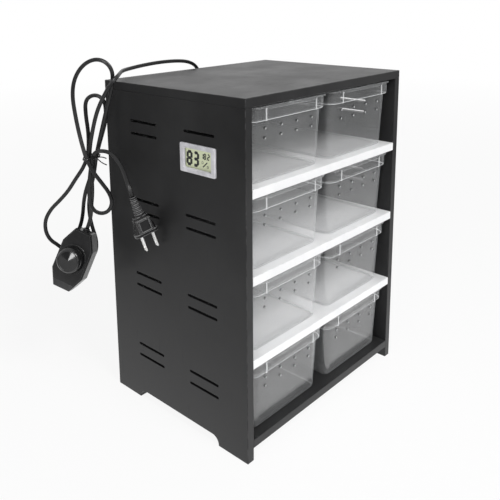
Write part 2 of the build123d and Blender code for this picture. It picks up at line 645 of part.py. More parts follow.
PLUG_PLANE = Plane(origin=PLUG_TOP, x_dir=PLUG_BLADE_AXIS, z_dir=PLUG_AXIS)
PLUG_FACE = RELIEF_LENGTH + PLUG_BODY_LENGTH + PLUG_FACE_THICKNESS


def plug_body():
    """The moulded boot, body, face plate and framed grips of a two-blade plug."""
    boot = Pos(0, 0, RELIEF_LENGTH / 2) * Cone(RELIEF_TOP_RADIUS, RELIEF_END_RADIUS, RELIEF_LENGTH)
    pitch = RELIEF_LENGTH / (RELIEF_GROOVES + 1)
    for groove in range(RELIEF_GROOVES):
        z = pitch * (groove + 1)
        radius = RELIEF_TOP_RADIUS + (RELIEF_END_RADIUS - RELIEF_TOP_RADIUS) * z / RELIEF_LENGTH
        ring = Cylinder(2 * radius, RELIEF_GROOVE_WIDTH)
        ring -= Cylinder(radius - RELIEF_GROOVE_DEPTH, RELIEF_GROOVE_WIDTH)
        boot -= Pos(0, 0, z) * ring
    corner = PLUG_DEPTH / 3
    neck = Pos(0, 0, RELIEF_LENGTH) * RectangleRounded(PLUG_NECK_WIDTH, 2 * RELIEF_END_RADIUS, corner)
    face_place = Pos(0, 0, RELIEF_LENGTH + PLUG_BODY_LENGTH)
    step = 2 * PLUG_FACE_STEP
    face = face_place * RectangleRounded(PLUG_FACE_WIDTH - step, PLUG_DEPTH - step, corner)
    plate = face_place * RectangleRounded(PLUG_FACE_WIDTH, PLUG_DEPTH, corner)
    body = boot + loft([neck, face]) + extrude(plate, PLUG_FACE_THICKNESS)
    grip_z = RELIEF_LENGTH + PLUG_BODY_LENGTH - PLUG_GRIP_LENGTH / 2
    grip = Box(PLUG_GRIP_WIDTH, PLUG_DEPTH + 2 * PLUG_GRIP_HEIGHT, PLUG_GRIP_LENGTH)
    grip = chamfer(grip.edges().filter_by(Axis.Z), PLUG_GRIP_HEIGHT)
    sunk_width = PLUG_GRIP_WIDTH - 2 * (PLUG_GRIP_HEIGHT + PLUG_GRIP_RIM)
    sunk = Box(sunk_width, 2 * PLUG_GRIP_SINK, PLUG_GRIP_LENGTH - 2 * PLUG_GRIP_RIM)
    for side in (-1, 1):
        grip -= Pos(0, side * (PLUG_DEPTH / 2 + PLUG_GRIP_HEIGHT), 0) * sunk
    return body + Pos(0, 0, grip_z) * grip


def plug_blades():
    blade = Box(BLADE_THICKNESS, BLADE_WIDTH, BLADE_LENGTH)
    tip = blade.faces().sort_by(Axis.Z)[-1].edges()
    blade = chamfer(tip, BLADE_THICKNESS / 4)
    hole = Rot(0, 90, 0) * Cylinder(BLADE_HOLE_DIAMETER / 2, 2 * BLADE_THICKNESS)
    blade -= Pos(0, 0, BLADE_LENGTH / 2 - BLADE_HOLE_FROM_TIP) * hole
    z = PLUG_FACE + BLADE_LENGTH / 2
    return [Pos(x, 0, z) * blade for x in (-BLADE_SPACING / 2, BLADE_SPACING / 2)]


parts["plug_body"] = PLUG_PLANE * plug_body()
parts["plug_blades"] = Compound([PLUG_PLANE * blade for blade in plug_blades()])


os.makedirs("parts", exist_ok=True)
for name, shape in parts.items():
    export_step(shape, f"parts/{name}.step")
print(len(parts), "nodes")
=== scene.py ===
import bpy
import numpy as np
from mathutils import Matrix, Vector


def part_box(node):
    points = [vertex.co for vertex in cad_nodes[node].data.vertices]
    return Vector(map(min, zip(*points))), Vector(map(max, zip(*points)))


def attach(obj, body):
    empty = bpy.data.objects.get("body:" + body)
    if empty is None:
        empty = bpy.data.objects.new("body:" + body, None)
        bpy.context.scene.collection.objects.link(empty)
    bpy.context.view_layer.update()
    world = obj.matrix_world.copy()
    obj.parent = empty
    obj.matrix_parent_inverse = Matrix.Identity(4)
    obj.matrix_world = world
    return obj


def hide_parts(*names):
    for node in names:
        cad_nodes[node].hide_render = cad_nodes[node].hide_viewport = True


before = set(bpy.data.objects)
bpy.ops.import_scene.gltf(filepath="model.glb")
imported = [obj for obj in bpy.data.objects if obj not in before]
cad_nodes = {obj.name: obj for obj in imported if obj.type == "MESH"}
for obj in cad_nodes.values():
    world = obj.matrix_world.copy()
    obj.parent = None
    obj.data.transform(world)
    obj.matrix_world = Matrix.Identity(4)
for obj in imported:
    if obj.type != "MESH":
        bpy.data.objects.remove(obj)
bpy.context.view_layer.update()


# Cabinet boards. Top, floor, sides and back are sheets of black acrylic with a satin
# face, sawn to size. The arrises are broken by hand and the joints are glued.

MM = 0.001
CABINET_SIZE = np.array([269, 205, 363]) * MM
# The middle of the cabinet's underside is the origin.
CABINET_LOW = CABINET_SIZE * (-0.5, -0.5, 0)
CABINET_HIGH = CABINET_SIZE * (0.5, 0.5, 1)
BOARDS = ["top_panel", "bottom_panel", "left_side_panel", "right_side_panel", "back_panel"]
BOARD_BLACK = (0.0175, 0.0175, 0.018)
BOARD_DUSTY = (0.027, 0.027, 0.0275)
BOARD_WORN = (0.065, 0.065, 0.067)
BOARD_BROKEN = 0.5 * MM
ARRIS_WEAR = 0.9 * MM


def finish(name, colour, roughness, **sockets):
    """A material with one Principled shader, its even values set on the shader's own sockets."""
    material = bpy.data.materials.new(name)
    material.use_nodes = True
    shader = material.node_tree.nodes["Principled BSDF"]
    shader.inputs["Base Color"].default_value = (*colour, 1)
    shader.inputs["Roughness"].default_value = roughness
    for socket, value in sockets.items():
        shader.inputs[socket.replace("_", " ")].default_value = value
    return material, shader


def add(material, kind, inputs=(), **settings):
    """Adds a shader node whose inputs are values or the outputs of other nodes."""
    made = material.node_tree.nodes.new("ShaderNode" + kind)
    for name, value in settings.items():
        setattr(made, name, value)
    for name, value in dict(inputs).items():
        if isinstance(value, bpy.types.NodeSocket):
            material.node_tree.links.new(value, made.inputs[name])
        else:
            made.inputs[name].default_value = value
    return made


def join(material, output, socket):
    """Links a node's output to a socket."""
    material.node_tree.links.new(output, socket)


def coordinates(material, stretch=(1, 1, 1), turn=(0, 0, 0), shift=(0, 0, 0)):
    """Object coordinates, in metres, stretched, then turned, then moved."""
    source = add(material, "TexCoord")
    inputs = {"Vector": source.outputs["Object"], "Location": shift, "Rotation": turn, "Scale": stretch}
    return add(material, "Mapping", inputs).outputs[0]


def noise(material, vector, per_metre, detail=2.0, grit=0.5):
    """Noise between 0 and 1 with so many lumps to the metre."""
    inputs = {"Vector": vector, "Scale": per_metre, "Detail": detail, "Roughness": grit}
    return add(material, "TexNoise", inputs).outputs["Fac"]


def spread(material, value, source, target):
    """value taken from the range source to the range target, and held at its ends."""
    inputs = {"Value": value, "From Min": source[0], "From Max": source[1]}
    inputs.update({"To Min": target[0], "To Max": target[1]})
    return add(material, "MapRange", inputs).outputs["Result"]


def math_of(material, first, second, operation="ADD"):
    """One number worked out from two: their sum, or what another operation makes of them."""
    return add(material, "Math", {0: first, 1: second}, operation=operation).outputs[0]


def blend_of(material, share, first, second):
    """A colour between two others; each is a value or a node's output."""
    made = add(material, "Mix", {"Factor": share}, data_type="RGBA")
    for socket, colour in zip((made.inputs[6], made.inputs[7]), (first, second)):
        if isinstance(colour, bpy.types.NodeSocket):
            join(material, colour, socket)
        else:
            socket.default_value = (*colour, 1)
    return made.outputs[2]


def relief(material, shader, height, depth, strength):
    """Bump of that depth in metres, laid over any bump that the shader has."""
    inputs = {"Height": height, "Distance": depth, "Strength": strength}
    bump = add(material, "Bump", inputs)
    if shader.inputs["Normal"].links:
        join(material, shader.inputs["Normal"].links[0].from_socket, bump.inputs["Normal"])
    join(material, bump.outputs[0], shader.inputs["Normal"])


def broken_edges(material, shader, radius):
    """Rounds the shading of sharp edges over that radius; it comes before any relief."""
    rounded = add(material, "Bevel", {"Radius": radius}, samples=6).outputs[0]
    join(material, rounded, shader.inputs["Normal"])


def arris_mask(material, low, high, width):
    """1 along the edges of a box, falling to 0 over width. The measure is the sum of the distances to the
    box's faces on three sides, less the largest of them, so it is the sum of the two least."""
    place = coordinates(material, shift=-(low + high) / 2)
    size = add(material, "VectorMath", {0: place}, operation="ABSOLUTE").outputs[0]
    inside = add(material, "VectorMath", {0: (high - low) / 2, 1: size}, operation="SUBTRACT").outputs[0]
    parts = add(material, "SeparateXYZ", {0: inside}).outputs
    total = math_of(material, math_of(material, parts[0], parts[1]), parts[2])
    largest = math_of(material, math_of(material, parts[0], parts[1], "MAXIMUM"), parts[2], "MAXIMUM")
    return spread(material, math_of(material, total, largest, "SUBTRACT"), (0, width), (1, 0))


def dress(names, material):
    """Gives CAD nodes a material in place of their own."""
    for name in names:
        cad_nodes[name].data.materials.clear()
        cad_nodes[name].data.materials.append(material)


black_board, shader = finish("black_board", BOARD_BLACK, roughness=0.4, Specular_IOR_Level=0.19)
broken_edges(black_board, shader, BOARD_BROKEN)
everywhere = coordinates(black_board)
haze = noise(black_board, everywhere, per_metre=14, detail=4, grit=0.6)
grain = noise(black_board, everywhere, per_metre=1400)
wiped = coordinates(black_board, stretch=(30, 420, 30), turn=(0.2, 0.3, 0.1))
hairlines = spread(black_board, noise(black_board, wiped, per_metre=1, detail=3), (0.66, 0.7), (0, 1))
scuffed = spread(black_board, noise(black_board, everywhere, per_metre=160, detail=3), (0.42, 0.62), (0, 1))
arrises = arris_mask(black_board, CABINET_LOW, CABINET_HIGH, ARRIS_WEAR)
wear = math_of(black_board, arrises, scuffed, "MULTIPLY")
dust = spread(black_board, haze, (0.35, 0.75), (0, 1))
dusty = blend_of(black_board, dust, BOARD_BLACK, BOARD_DUSTY)
join(black_board, blend_of(black_board, wear, dusty, BOARD_WORN), shader.inputs["Base Color"])
satin = math_of(black_board, spread(black_board, haze, (0.3, 0.7), (0.34, 0.46)),
                spread(black_board, hairlines, (0, 1), (0, 0.1)))
join(black_board, satin, shader.inputs["Roughness"])
relief(black_board, shader, grain, depth=0.01 * MM, strength=0.5)
relief(black_board, shader, haze, depth=0.4 * MM, strength=0.25)
dress(BOARDS, black_board)


# Shelves. Three boards of white foamed plastic with a fine pebbled skin, cut from the same
# thickness as the cabinet and glued between its sides.

SHELF_WHITE = (0.83, 0.83, 0.835)
SHELF_SHADED = (0.76, 0.765, 0.775)
SHELF_BROKEN = 0.4 * MM

white_board, shader = finish("white_board", SHELF_WHITE, roughness=0.5, Specular_IOR_Level=0.45)
broken_edges(white_board, shader, SHELF_BROKEN)
everywhere = coordinates(white_board)
mottle = noise(white_board, everywhere, per_metre=30, detail=4, grit=0.6)
pebble = noise(white_board, everywhere, per_metre=1900, detail=1)
shade = spread(white_board, mottle, (0.35, 0.7), (0, 1))
join(white_board, blend_of(white_board, shade, SHELF_WHITE, SHELF_SHADED), shader.inputs["Base Color"])
join(white_board, spread(white_board, mottle, (0.3, 0.7), (0.42, 0.58)), shader.inputs["Roughness"])
relief(white_board, shader, pebble, depth=0.012 * MM, strength=0.6)
dress(["shelf_1", "shelf_2", "shelf_3"], white_board)


# Heater. A carbon-printed heating film under clear sheet lies on the back panel, with a
# moulded cover over its joint. The lead leaves through a moulded gland in the panel.

FILM_BLACK = (0.012, 0.012, 0.013)
FILM_BUS = (0.09, 0.088, 0.085)
FILM_STRIPES_PER_METRE = 70
FILM_BUS_INNER = 102 * MM
FILM_BUS_OUTER = 110 * MM
FILM_BUS_BLUR = 0.25 * MM
MOULDED_BLACK = (0.013, 0.013, 0.0135)
MOULDED_BROKEN = 0.5 * MM

heating_film, shader = finish("heating_film", FILM_BLACK, roughness=0.22, Specular_IOR_Level=0.5)
film_place = add(heating_film, "SeparateXYZ", {0: coordinates(heating_film)}).outputs
phase = math_of(heating_film, film_place[2], FILM_STRIPES_PER_METRE * 2 * np.pi, "MULTIPLY")
wave = add(heating_film, "Math", {0: phase}, operation="SINE").outputs[0]
stripes = spread(heating_film, wave, (-0.3, 0.3), (0, 0.12))
across = add(heating_film, "Math", {0: film_place[0]}, operation="ABSOLUTE").outputs[0]
past_inner = spread(heating_film, across, (FILM_BUS_INNER - FILM_BUS_BLUR, FILM_BUS_INNER), (0, 1))
before_outer = spread(heating_film, across, (FILM_BUS_OUTER, FILM_BUS_OUTER + FILM_BUS_BLUR), (1, 0))
bus = math_of(heating_film, past_inner, before_outer, "MULTIPLY")
printed = math_of(heating_film, stripes, bus, "MAXIMUM")
join(heating_film, blend_of(heating_film, printed, FILM_BLACK, FILM_BUS), shader.inputs["Base Color"])
ripple = noise(heating_film, coordinates(heating_film), per_metre=60)
relief(heating_film, shader, ripple, depth=0.4 * MM, strength=0.4)
dress(["heating_film"], heating_film)


def moulded(name, colour, roughness, grain_per_metre=2200, grain_depth=0.008 * MM, **sockets):
    """Moulded plastic or cast metal: even colour with faint flow marks, a fine texture and slightly uneven
    gloss. The flow marks are 1.35 times the colour, and a touch more."""
    material, shader = finish(name, colour, roughness, **sockets)
    broken_edges(material, shader, MOULDED_BROKEN)
    place = coordinates(material)
    flow = noise(material, place, per_metre=90, detail=3, grit=0.6)
    lighter = tuple(1.35 * c + 0.002 for c in colour)
    marks = blend_of(material, spread(material, flow, (0.4, 0.7), (0, 1)), colour, lighter)
    join(material, marks, shader.inputs["Base Color"])
    gloss = spread(material, flow, (0.3, 0.7), (0.85 * roughness, 1.15 * roughness))
    join(material, gloss, shader.inputs["Roughness"])
    grain = noise(material, place, grain_per_metre, detail=1)
    relief(material, shader, grain, grain_depth, strength=0.6)
    return material


black_plastic = moulded("black_plastic", MOULDED_BLACK, roughness=0.3)
dress(["film_terminal", "lead_gland"], black_plastic)


# Breeding tubs. Eight clear polypropylene boxes, injection moulded in one piece, with a
# rolled lip, a stepped band, ribs, a finger pull and two rows of air holes in the front wall.

WHITE = (1, 1, 1, 1)
TUB_CLEAR = (0.80, 0.815, 0.825)
# The air holes' tunnels are painted black as shade.
TUNNEL_PAINTED_SHADE = (0.012, 0.012, 0.013)
# How much of the plastic's own colour shows: in a wall, added where it is seen aside, added where it
# looks thick and where highlights are painted, taken away where shade is painted, and at least.
TUB_HAZE = (0.042, 0.066)
TUB_ASIDE_HAZE = 0.7
TUB_THICK_AND_PAINTED_LIGHT_HAZE = 0.7
TUB_LEAST_HAZE = 0.015
TUB_ROUGHNESS = (0.08, 0.16)
# These lengths are in millimetres, and so are those of later pieces where nothing multiplies them by MM.
TUB_LEDGE_DROP = 14.0
TUB_WALL = 1.2
TUB_STEP = 2.6
TUB_LEAN = 3.2
FLOOR_STRIP = 4.0
FOOT_RADIUS = 7.3
WALL_RADIUS = 10.5
BAND_RADIUS = 9.6
LIP_RADIUS = 10.0
LIP_REACH = 1.7
LIP_DEPTH = 1.8
SIDE_HALF = 78.0
PULL_DEPTH = 1.6
PULL_HALF = 38.2
RIB_PLACE = 38.7
RIB_PROUD = 1.0
RIB_LINES = np.array([0.3, 0.6, 0.85])
RIB_PAINTED_HIGHLIGHT = 0.8
HOLE_RADIUS = 1.4
HOLE_COLUMNS = 24.1 * np.array([-1.5, -0.5, 0.5, 1.5])
HOLE_DROPS = np.array([16.8, 7.3])
HOLE_LINES = HOLE_RADIUS * np.array([-1.2, -1, -0.5, 0, 0.5, 1, 1.2])
HOLE_PAINTED_GLINT = 1.2
HOLE_RIM_PAINTED_SHADE = -0.02
FILLET_STEPS = 4
CORNER_STEPS = 9
SIDE_STEPS = 9
# Painted light: how much brighter (painted highlight) or darker (painted shade) the plastic shows at the
# four points of each fillet, from the foot up the outside, over the lip and down the inside to the floor.
FILLET_PAINTED_LIGHT = np.array([
    (-0.6, 0.12, 0.32, 0), (0, 0, -0.3, -0.3), (-0.25, 1.3, 1.3, -0.25), (-0.1, 0, -0.3, -0.3),
    (-0.3, 0, 0.1, 0.1), (0.1, 0.4, 0.4, -0.2), (-0.3, 0, 0, 0), (0, 0, -0.3, -0.3), (-0.3, 0, 0, 0),
    (0, 0.25, 0.1, -0.6),
])


def unit(vectors):
    """Each vector divided by its own length."""
    return vectors / np.linalg.norm(vectors, axis=-1, keepdims=True)


def ring_quads(rows, columns, closed=False):
    """Quads between neighbouring samples of a grid, by row and column. Each row of samples is a ring, and
    the last row meets the first where the grid is closed."""
    i, j = np.meshgrid(np.arange(rows if closed else rows - 1), np.arange(columns), indexing="ij")
    following, beside = (i + 1) % rows, (j + 1) % columns
    corners = [i * columns + j, i * columns + beside, following * columns + beside, following * columns + j]
    return np.stack(corners, axis=-1)


def mesh_piece(name, vertices, faces, material, body, smooth=True):
    """A mesh object at the origin whose vertices are in the row frame, riding on a CAD body."""
    mesh = bpy.data.meshes.new(name)
    mesh.from_pydata(np.asarray(vertices, float), [], [list(f) for f in faces])
    mesh.polygons.foreach_set("use_smooth", np.full(len(mesh.polygons), smooth))
    mesh.materials.append(material)
    mesh.update()
    piece = bpy.data.objects.new(name, mesh)
    bpy.context.scene.collection.objects.link(piece)
    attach(piece, body)
    return piece


def eased(corners):
    """Points round each inner corner of a polyline, (inset, height, plan radius, fillet) by row. With s
    from 0 to 1, a point is (1-s)^2 start + 2s(1-s) corner + s^2 end, where start and end lie one fillet
    away from the corner. The direction there is that of 2(1-s)(corner - start) + 2s(end - corner)."""
    place, fillet = corners[:, :3], corners[1:-1, 3:]
    runs = np.diff(place, axis=0) / np.linalg.norm(np.diff(place[:, :2], axis=0), axis=1, keepdims=True)
    middle = place[1:-1, None]
    start = middle - (fillet * runs[:-1])[:, None]
    end = middle + (fillet * runs[1:])[:, None]
    s = np.linspace(0, 1, FILLET_STEPS)[None, :, None]
    points = (1 - s) ** 2 * start + 2 * s * (1 - s) * middle + s**2 * end
    heading = unit(((1 - s) * (middle - start) + s * (end - middle))[..., :2])
    return points, heading


def tub_profile(height):
    """A tub's section from its underside, up the outer wall, over the lip and down the inner wall to its
    floor: inset from the lip's outline, height and plan radius, then heading, then its painted light."""
    ledge = height - TUB_LEDGE_DROP
    lip_foot = height - LIP_DEPTH
    foot = LIP_REACH + TUB_STEP + TUB_LEAN
    corners = np.array([
        (foot + FLOOR_STRIP, 0, FOOT_RADIUS - FLOOR_STRIP, 0),
        (foot, 0, FOOT_RADIUS, 3),
        (foot - TUB_LEAN, ledge, WALL_RADIUS, 0.5),
        (LIP_REACH, ledge, BAND_RADIUS, 1.1),
        (LIP_REACH, lip_foot, BAND_RADIUS, 0.4),
        (0, lip_foot, LIP_RADIUS, 0.5),
        (0, height, LIP_RADIUS, 0.6),
        (LIP_REACH + TUB_WALL, height, BAND_RADIUS - TUB_WALL, 0.5),
        (LIP_REACH + TUB_WALL, ledge + TUB_WALL, BAND_RADIUS - TUB_WALL, 0.6),
        (foot - TUB_LEAN + TUB_WALL, ledge + TUB_WALL, WALL_RADIUS - TUB_WALL, 0.5),
        (foot + TUB_WALL, TUB_WALL, FOOT_RADIUS - TUB_WALL, 1.8),
        (foot + TUB_WALL + FLOOR_STRIP, TUB_WALL, FOOT_RADIUS - TUB_WALL - FLOOR_STRIP, 0),
    ], float)
    points, heading = eased(corners)
    rise = np.sort((ledge - HOLE_DROPS[:, None] + HOLE_LINES[None]).ravel())
    share = (rise / ledge)[:, None]
    outer = (1 - share) * corners[1, :3] + share * corners[2, :3]
    inner = outer[::-1] + (TUB_WALL * (1 + TUB_LEAN / ledge), 0, -TUB_WALL)
    up = np.repeat(unit(np.diff(corners[1:3, :2], axis=0)), len(rise), 0)
    plain = np.zeros(len(rise))
    sections = [points[0], outer, points[1:-1].reshape(-1, 3), inner, points[-1]]
    headings = [heading[0], up, heading[1:-1].reshape(-1, 2), -up, heading[-1]]
    painted_lights = [FILLET_PAINTED_LIGHT[0], plain, FILLET_PAINTED_LIGHT[1:-1].ravel(), plain, FILLET_PAINTED_LIGHT[-1]]
    return np.concatenate(sections), np.concatenate(headings), np.concatenate(painted_lights)


def tub_plan():
    """Samples round a rounded rectangle, as three pairs by row: a held place, how far the sample goes out
    with the rectangle's corner centres, and its direction. Straight walls hold the lines of the ribs and
    the holes."""
    ribs = RIB_PLACE + np.concatenate([-RIB_LINES[::-1], RIB_LINES])
    lines = np.concatenate([-ribs[::-1], (HOLE_COLUMNS[:, None] + HOLE_LINES).ravel(), ribs])
    side = np.linspace(-SIDE_HALF, SIDE_HALF, SIDE_STEPS)
    quarter = np.linspace(0, np.pi / 2, CORNER_STEPS)
    walls_out = np.array([(0, -1), (1, 0), (0, 1), (-1, 0)], float)
    corners_out = np.array([(1, -1), (1, 1), (-1, 1), (-1, -1)], float)
    samples = []
    for turn, held in enumerate((lines, side, lines[::-1], side[::-1])):
        flat = np.zeros((len(held), 2))
        flat[:, turn % 2] = held
        samples.append(np.hstack([flat, np.tile(walls_out[turn], (len(held), 2))]))
        angle = quarter + (turn - 1) * np.pi / 2
        along = np.stack([np.cos(angle), np.sin(angle)], axis=1)
        out = np.tile(corners_out[turn], (CORNER_STEPS, 1))
        samples.append(np.hstack([np.zeros((CORNER_STEPS, 2)), out, along]))
    plan = np.concatenate(samples)
    return plan[:, :2], plan[:, 2:4], plan[:, 4:]


def hole_places():
    """Each air hole's middle along the front wall, and where its samples lie in the tub's grid: its rows
    outside, its rows inside and its columns. The outer rows follow the first fillet, and the inner ones, in
    reverse, come before the last. The columns come after the lines of the first rib."""
    count = len(HOLE_LINES)
    inner_end = 2 * len(HOLE_DROPS) * count + (len(FILLET_PAINTED_LIGHT) - 1) * FILLET_STEPS
    for row, column in np.ndindex(len(HOLE_DROPS), len(HOLE_COLUMNS)):
        outside = FILLET_STEPS + count * row + np.arange(count)
        inside = inner_end - 1 - count * row - np.arange(count)
        across = 2 * len(RIB_LINES) + count * column + np.arange(count)
        yield HOLE_COLUMNS[column], outside, inside, across


def open_holes(x, rise, bright):
    """Makes the air holes in a tub's samples. A square of them becomes a disc by x = u sqrt(1 - v^2/2),
    y = v sqrt(1 - u^2/2), without its quads, and a tunnel joins the discs outside and inside. Says which
    quads stay, gives the tunnels' quads, and says which of these get painted shade: all but the lower
    right."""
    u, v = np.meshgrid(HOLE_LINES[1:-1] / HOLE_RADIUS, HOLE_LINES[1:-1] / HOLE_RADIUS)
    # The 16 samples round a disc's edge, in order, by their places among the hole's lines.
    edge = np.array([(1, k) for k in range(1, 5)] + [(k, 5) for k in range(1, 5)]
                    + [(5, k) for k in range(5, 1, -1)] + [(k, 1) for k in range(5, 1, -1)])
    rows, around = x.shape
    solid = np.ones((rows - 1, around), bool)
    tunnels = []
    for centre, outside, inside, across in hole_places():
        for level in (outside, inside):
            disc = np.ix_(level[1:-1], across[1:-1])
            x[disc] = centre + HOLE_RADIUS * u * np.sqrt(1 - v**2 / 2)
            rise[disc] = rise[level[len(level) // 2], 0] + HOLE_RADIUS * v * np.sqrt(1 - u**2 / 2)
            # A painted glint at each disc's lower right, and a touch of painted shade round the rest.
            bright[disc] = np.where(u - v > 0.5, HOLE_PAINTED_GLINT, HOLE_RIM_PAINTED_SHADE)
            lowest = min(level[1], level[-2])
            solid[lowest:lowest + len(u) - 1, across[1]:across[-2]] = False
        out = outside[edge[:, 0]] * around + across[edge[:, 1]]
        into = inside[edge[:, 0]] * around + across[edge[:, 1]]
        tunnels.append(np.stack([out, np.roll(out, -1), np.roll(into, -1), into], axis=1))
    painted_shade = np.tile(edge[:, 1] <= edge[:, 0] + 1, len(tunnels))
    return solid, np.concatenate(tunnels), painted_shade


def tub_mesh(low, high):
    """A tub in the box from low to high, in millimetres. Sample (i, j) = held place + reach times (half
    size - inset - plan radius) + plan radius times direction, at the height of profile point i. Its normal
    is square to the heading: the heading's rise times the direction, and upwards the heading's inset."""
    half, height = (high - low)[:2] / 2, (high - low)[2]
    profile, heading, painted_light = tub_profile(height)
    held, reach, direction = tub_plan()
    around = len(held)
    inset, rise, radius = (np.repeat(profile[:, k, None], around, 1) for k in range(3))
    # Painted highlights and painted shade, by row, which the plastic shows as more or less haze.
    bright = np.repeat(painted_light[:, None], around, 1)
    end_wall = (direction[:, 1] ** 2 == 1) & (np.abs(held[:, 0]) > 0)
    from_rib = np.abs(np.abs(held[:, 0]) - RIB_PLACE)
    on_rib = np.clip((RIB_LINES[2] - from_rib) / (RIB_LINES[2] - RIB_LINES[1]), 0, 1) * end_wall
    on_pull = (np.abs(held[:, 0]) < PULL_HALF) * end_wall * (direction[:, 1] < 0)
    # The rows where the fillets above the outer holes start. The band's face lies between fillets 2 and 3,
    # and the lip's underside between fillets 3 and 4.
    fillet_row = len(HOLE_DROPS) * len(HOLE_LINES) + FILLET_STEPS * np.arange(len(FILLET_PAINTED_LIGHT))
    band = slice(fillet_row[2], fillet_row[4])
    under_lip = slice(fillet_row[3], fillet_row[5])
    inset[band] -= on_rib * np.maximum(inset[band] - LIP_REACH + RIB_PROUD, 0)
    # Painted highlights down the ribs.
    bright[band] = np.maximum(bright[band], on_rib * RIB_PAINTED_HIGHLIGHT)
    rise[under_lip] -= PULL_DEPTH * on_pull
    x, y = (held[:, k] + reach[:, k] * (half[k] - inset - radius) + radius * direction[:, k]
            for k in range(2))
    solid, tunnels, painted_shade = open_holes(x, rise, bright)
    vertices = np.dstack([x, y, rise]).reshape(-1, 3) + (*(low + high)[:2] / 2, low[2])
    sideways = heading[:, 1, None, None] * direction[None]
    normal = np.dstack([sideways, np.repeat(heading[:, :1], around, 1)]).reshape(-1, 3)
    quads = ring_quads(len(profile), around)[solid]
    used, faces = np.unique(np.concatenate([quads, tunnels]), return_inverse=True)
    underside = np.arange(around)[::-1]
    floor = (len(profile) - 1) * around + np.arange(around)
    caps = [np.searchsorted(used, underside), np.searchsorted(used, floor)]
    part = np.concatenate([np.zeros(len(quads)), painted_shade, np.zeros(len(caps))]).astype(np.int32)
    return vertices[used] * MM, [*faces.reshape(-1, 4), *caps], normal[used], bright.ravel()[used], part


def sheen_of(material, straight_on, aside):
    """The share of light that a clear face reflects: straight_on + aside times (1 - cos angle)^5."""
    facing = add(material, "LayerWeight", {"Blend": 0.5}).outputs["Facing"]
    grazing = math_of(material, facing, 5.0, "POWER")
    return math_of(material, math_of(material, grazing, aside, "MULTIPLY"), straight_on)


def clear_gloss(material, share, roughness):
    """A glossy layer over the material's shader, of which it takes that share."""
    mirror = add(material, "BsdfAnisotropic", {"Color": WHITE, "Roughness": roughness}).outputs[0]
    output = next(n for n in material.node_tree.nodes if n.type == "OUTPUT_MATERIAL")
    under = output.inputs["Surface"].links[0].from_socket
    layered = add(material, "MixShader", {0: share, 1: under, 2: mirror}).outputs[0]
    join(material, layered, output.inputs["Surface"])


tub_plastic, shader = finish("tub_plastic", TUB_CLEAR, roughness=0.25, Specular_IOR_Level=0.2)
everywhere = coordinates(tub_plastic)
cloud = noise(tub_plastic, everywhere, per_metre=22, detail=3)
facing = add(tub_plastic, "LayerWeight", {"Blend": 0.5}).outputs["Facing"]
# Haze added where the plastic looks thick, with painted highlights and painted shade.
thick_and_painted_light = add(tub_plastic, "Attribute", attribute_name="thick_and_painted_light").outputs["Fac"]
haze = math_of(tub_plastic, spread(tub_plastic, cloud, (0.3, 0.7), TUB_HAZE),
               spread(tub_plastic, facing, (0.6, 1), (0, TUB_ASIDE_HAZE)))
cover = math_of(tub_plastic, haze, math_of(tub_plastic, thick_and_painted_light, TUB_THICK_AND_PAINTED_LIGHT_HAZE, "MULTIPLY"))
join(tub_plastic, math_of(tub_plastic, cover, TUB_LEAST_HAZE, "MAXIMUM"), shader.inputs["Alpha"])
gloss_rough = spread(tub_plastic, cloud, (0.3, 0.7), TUB_ROUGHNESS)
clear_gloss(tub_plastic, sheen_of(tub_plastic, straight_on=0.045, aside=0.28), gloss_rough)
flow = noise(tub_plastic, everywhere, per_metre=300)
relief(tub_plastic, shader, flow, depth=0.03 * MM, strength=0.3)
# Painted shade: the tunnels are black for the dark that the clear walls show round each hole.
hole_painted_shade, shader = finish("hole_painted_shade", TUNNEL_PAINTED_SHADE, roughness=0.3, Specular_IOR_Level=0.3)
streak = noise(hole_painted_shade, coordinates(hole_painted_shade), per_metre=900)
join(hole_painted_shade, spread(hole_painted_shade, streak, (0.4, 0.6), (0.92, 1)), shader.inputs["Alpha"])

for row in range(1, 5):
    for side in ("left", "right"):
        node_name = f"tub_row{row}_{side}"
        low, high = (np.array(corner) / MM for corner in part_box(node_name))
        vertices, faces, normals, thick_and_painted_light_here, part = tub_mesh(low, high)
        tub = mesh_piece(f"clear_{node_name}", vertices, faces, tub_plastic, node_name)
        attribute = tub.data.attributes.new("thick_and_painted_light", "FLOAT", "POINT")
        attribute.data.foreach_set("value", thick_and_painted_light_here.astype(np.float32))
        tub.data.materials.append(hole_painted_shade)
        tub.data.polygons.foreach_set("material_index", part)
        tub.data.normals_split_custom_set_from_vertices(normals.tolist())
        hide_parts(node_name)


# Thermometer and hygrometer. A silver-grey moulded bezel clips into the left panel, with a
# clear window over a liquid-crystal display that shows 83 % and 18.2 degrees.

BEZEL_GREY = (0.61, 0.605, 0.635)
CASE_GREY = (0.5, 0.5, 0.52)
DISPLAY_GREEN = (0.92, 0.95, 0.68)
DIGIT_BLACK = (0.012, 0.013, 0.012)
LENS_TINT = (0.97, 0.98, 0.97, 1)
LENS_SHEEN = 0.035
LENS_KEPT_SHEEN = 0.25
CIRCUIT_GREEN = (0.02, 0.12, 0.05)
CELL_STEEL = (0.6, 0.6, 0.58)
INK_PROUD = 0.02 * MM
METER_CENTRE = (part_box("meter_bezel")[0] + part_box("meter_bezel")[1]) / 2
INK_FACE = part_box("meter_display")[0][0] - INK_PROUD
# The bezel's half width, half height, corner radius and distance out from the panel, from its
# back edge round its front to the window.
BEZEL_SECTION = [
    (24, 14.4, 1.5, 0), (24, 14.4, 1.5, 1.5), (23.8, 14.2, 1.4, 1.9), (23.3, 13.7, 1.2, 2.2),
    (19.2, 10.7, 1.0, 2.2), (18.9, 10.4, 0.9, 2.0), (18, 9.5, 0.6, 0.5), (18, 9.5, 0.6, 0),
]
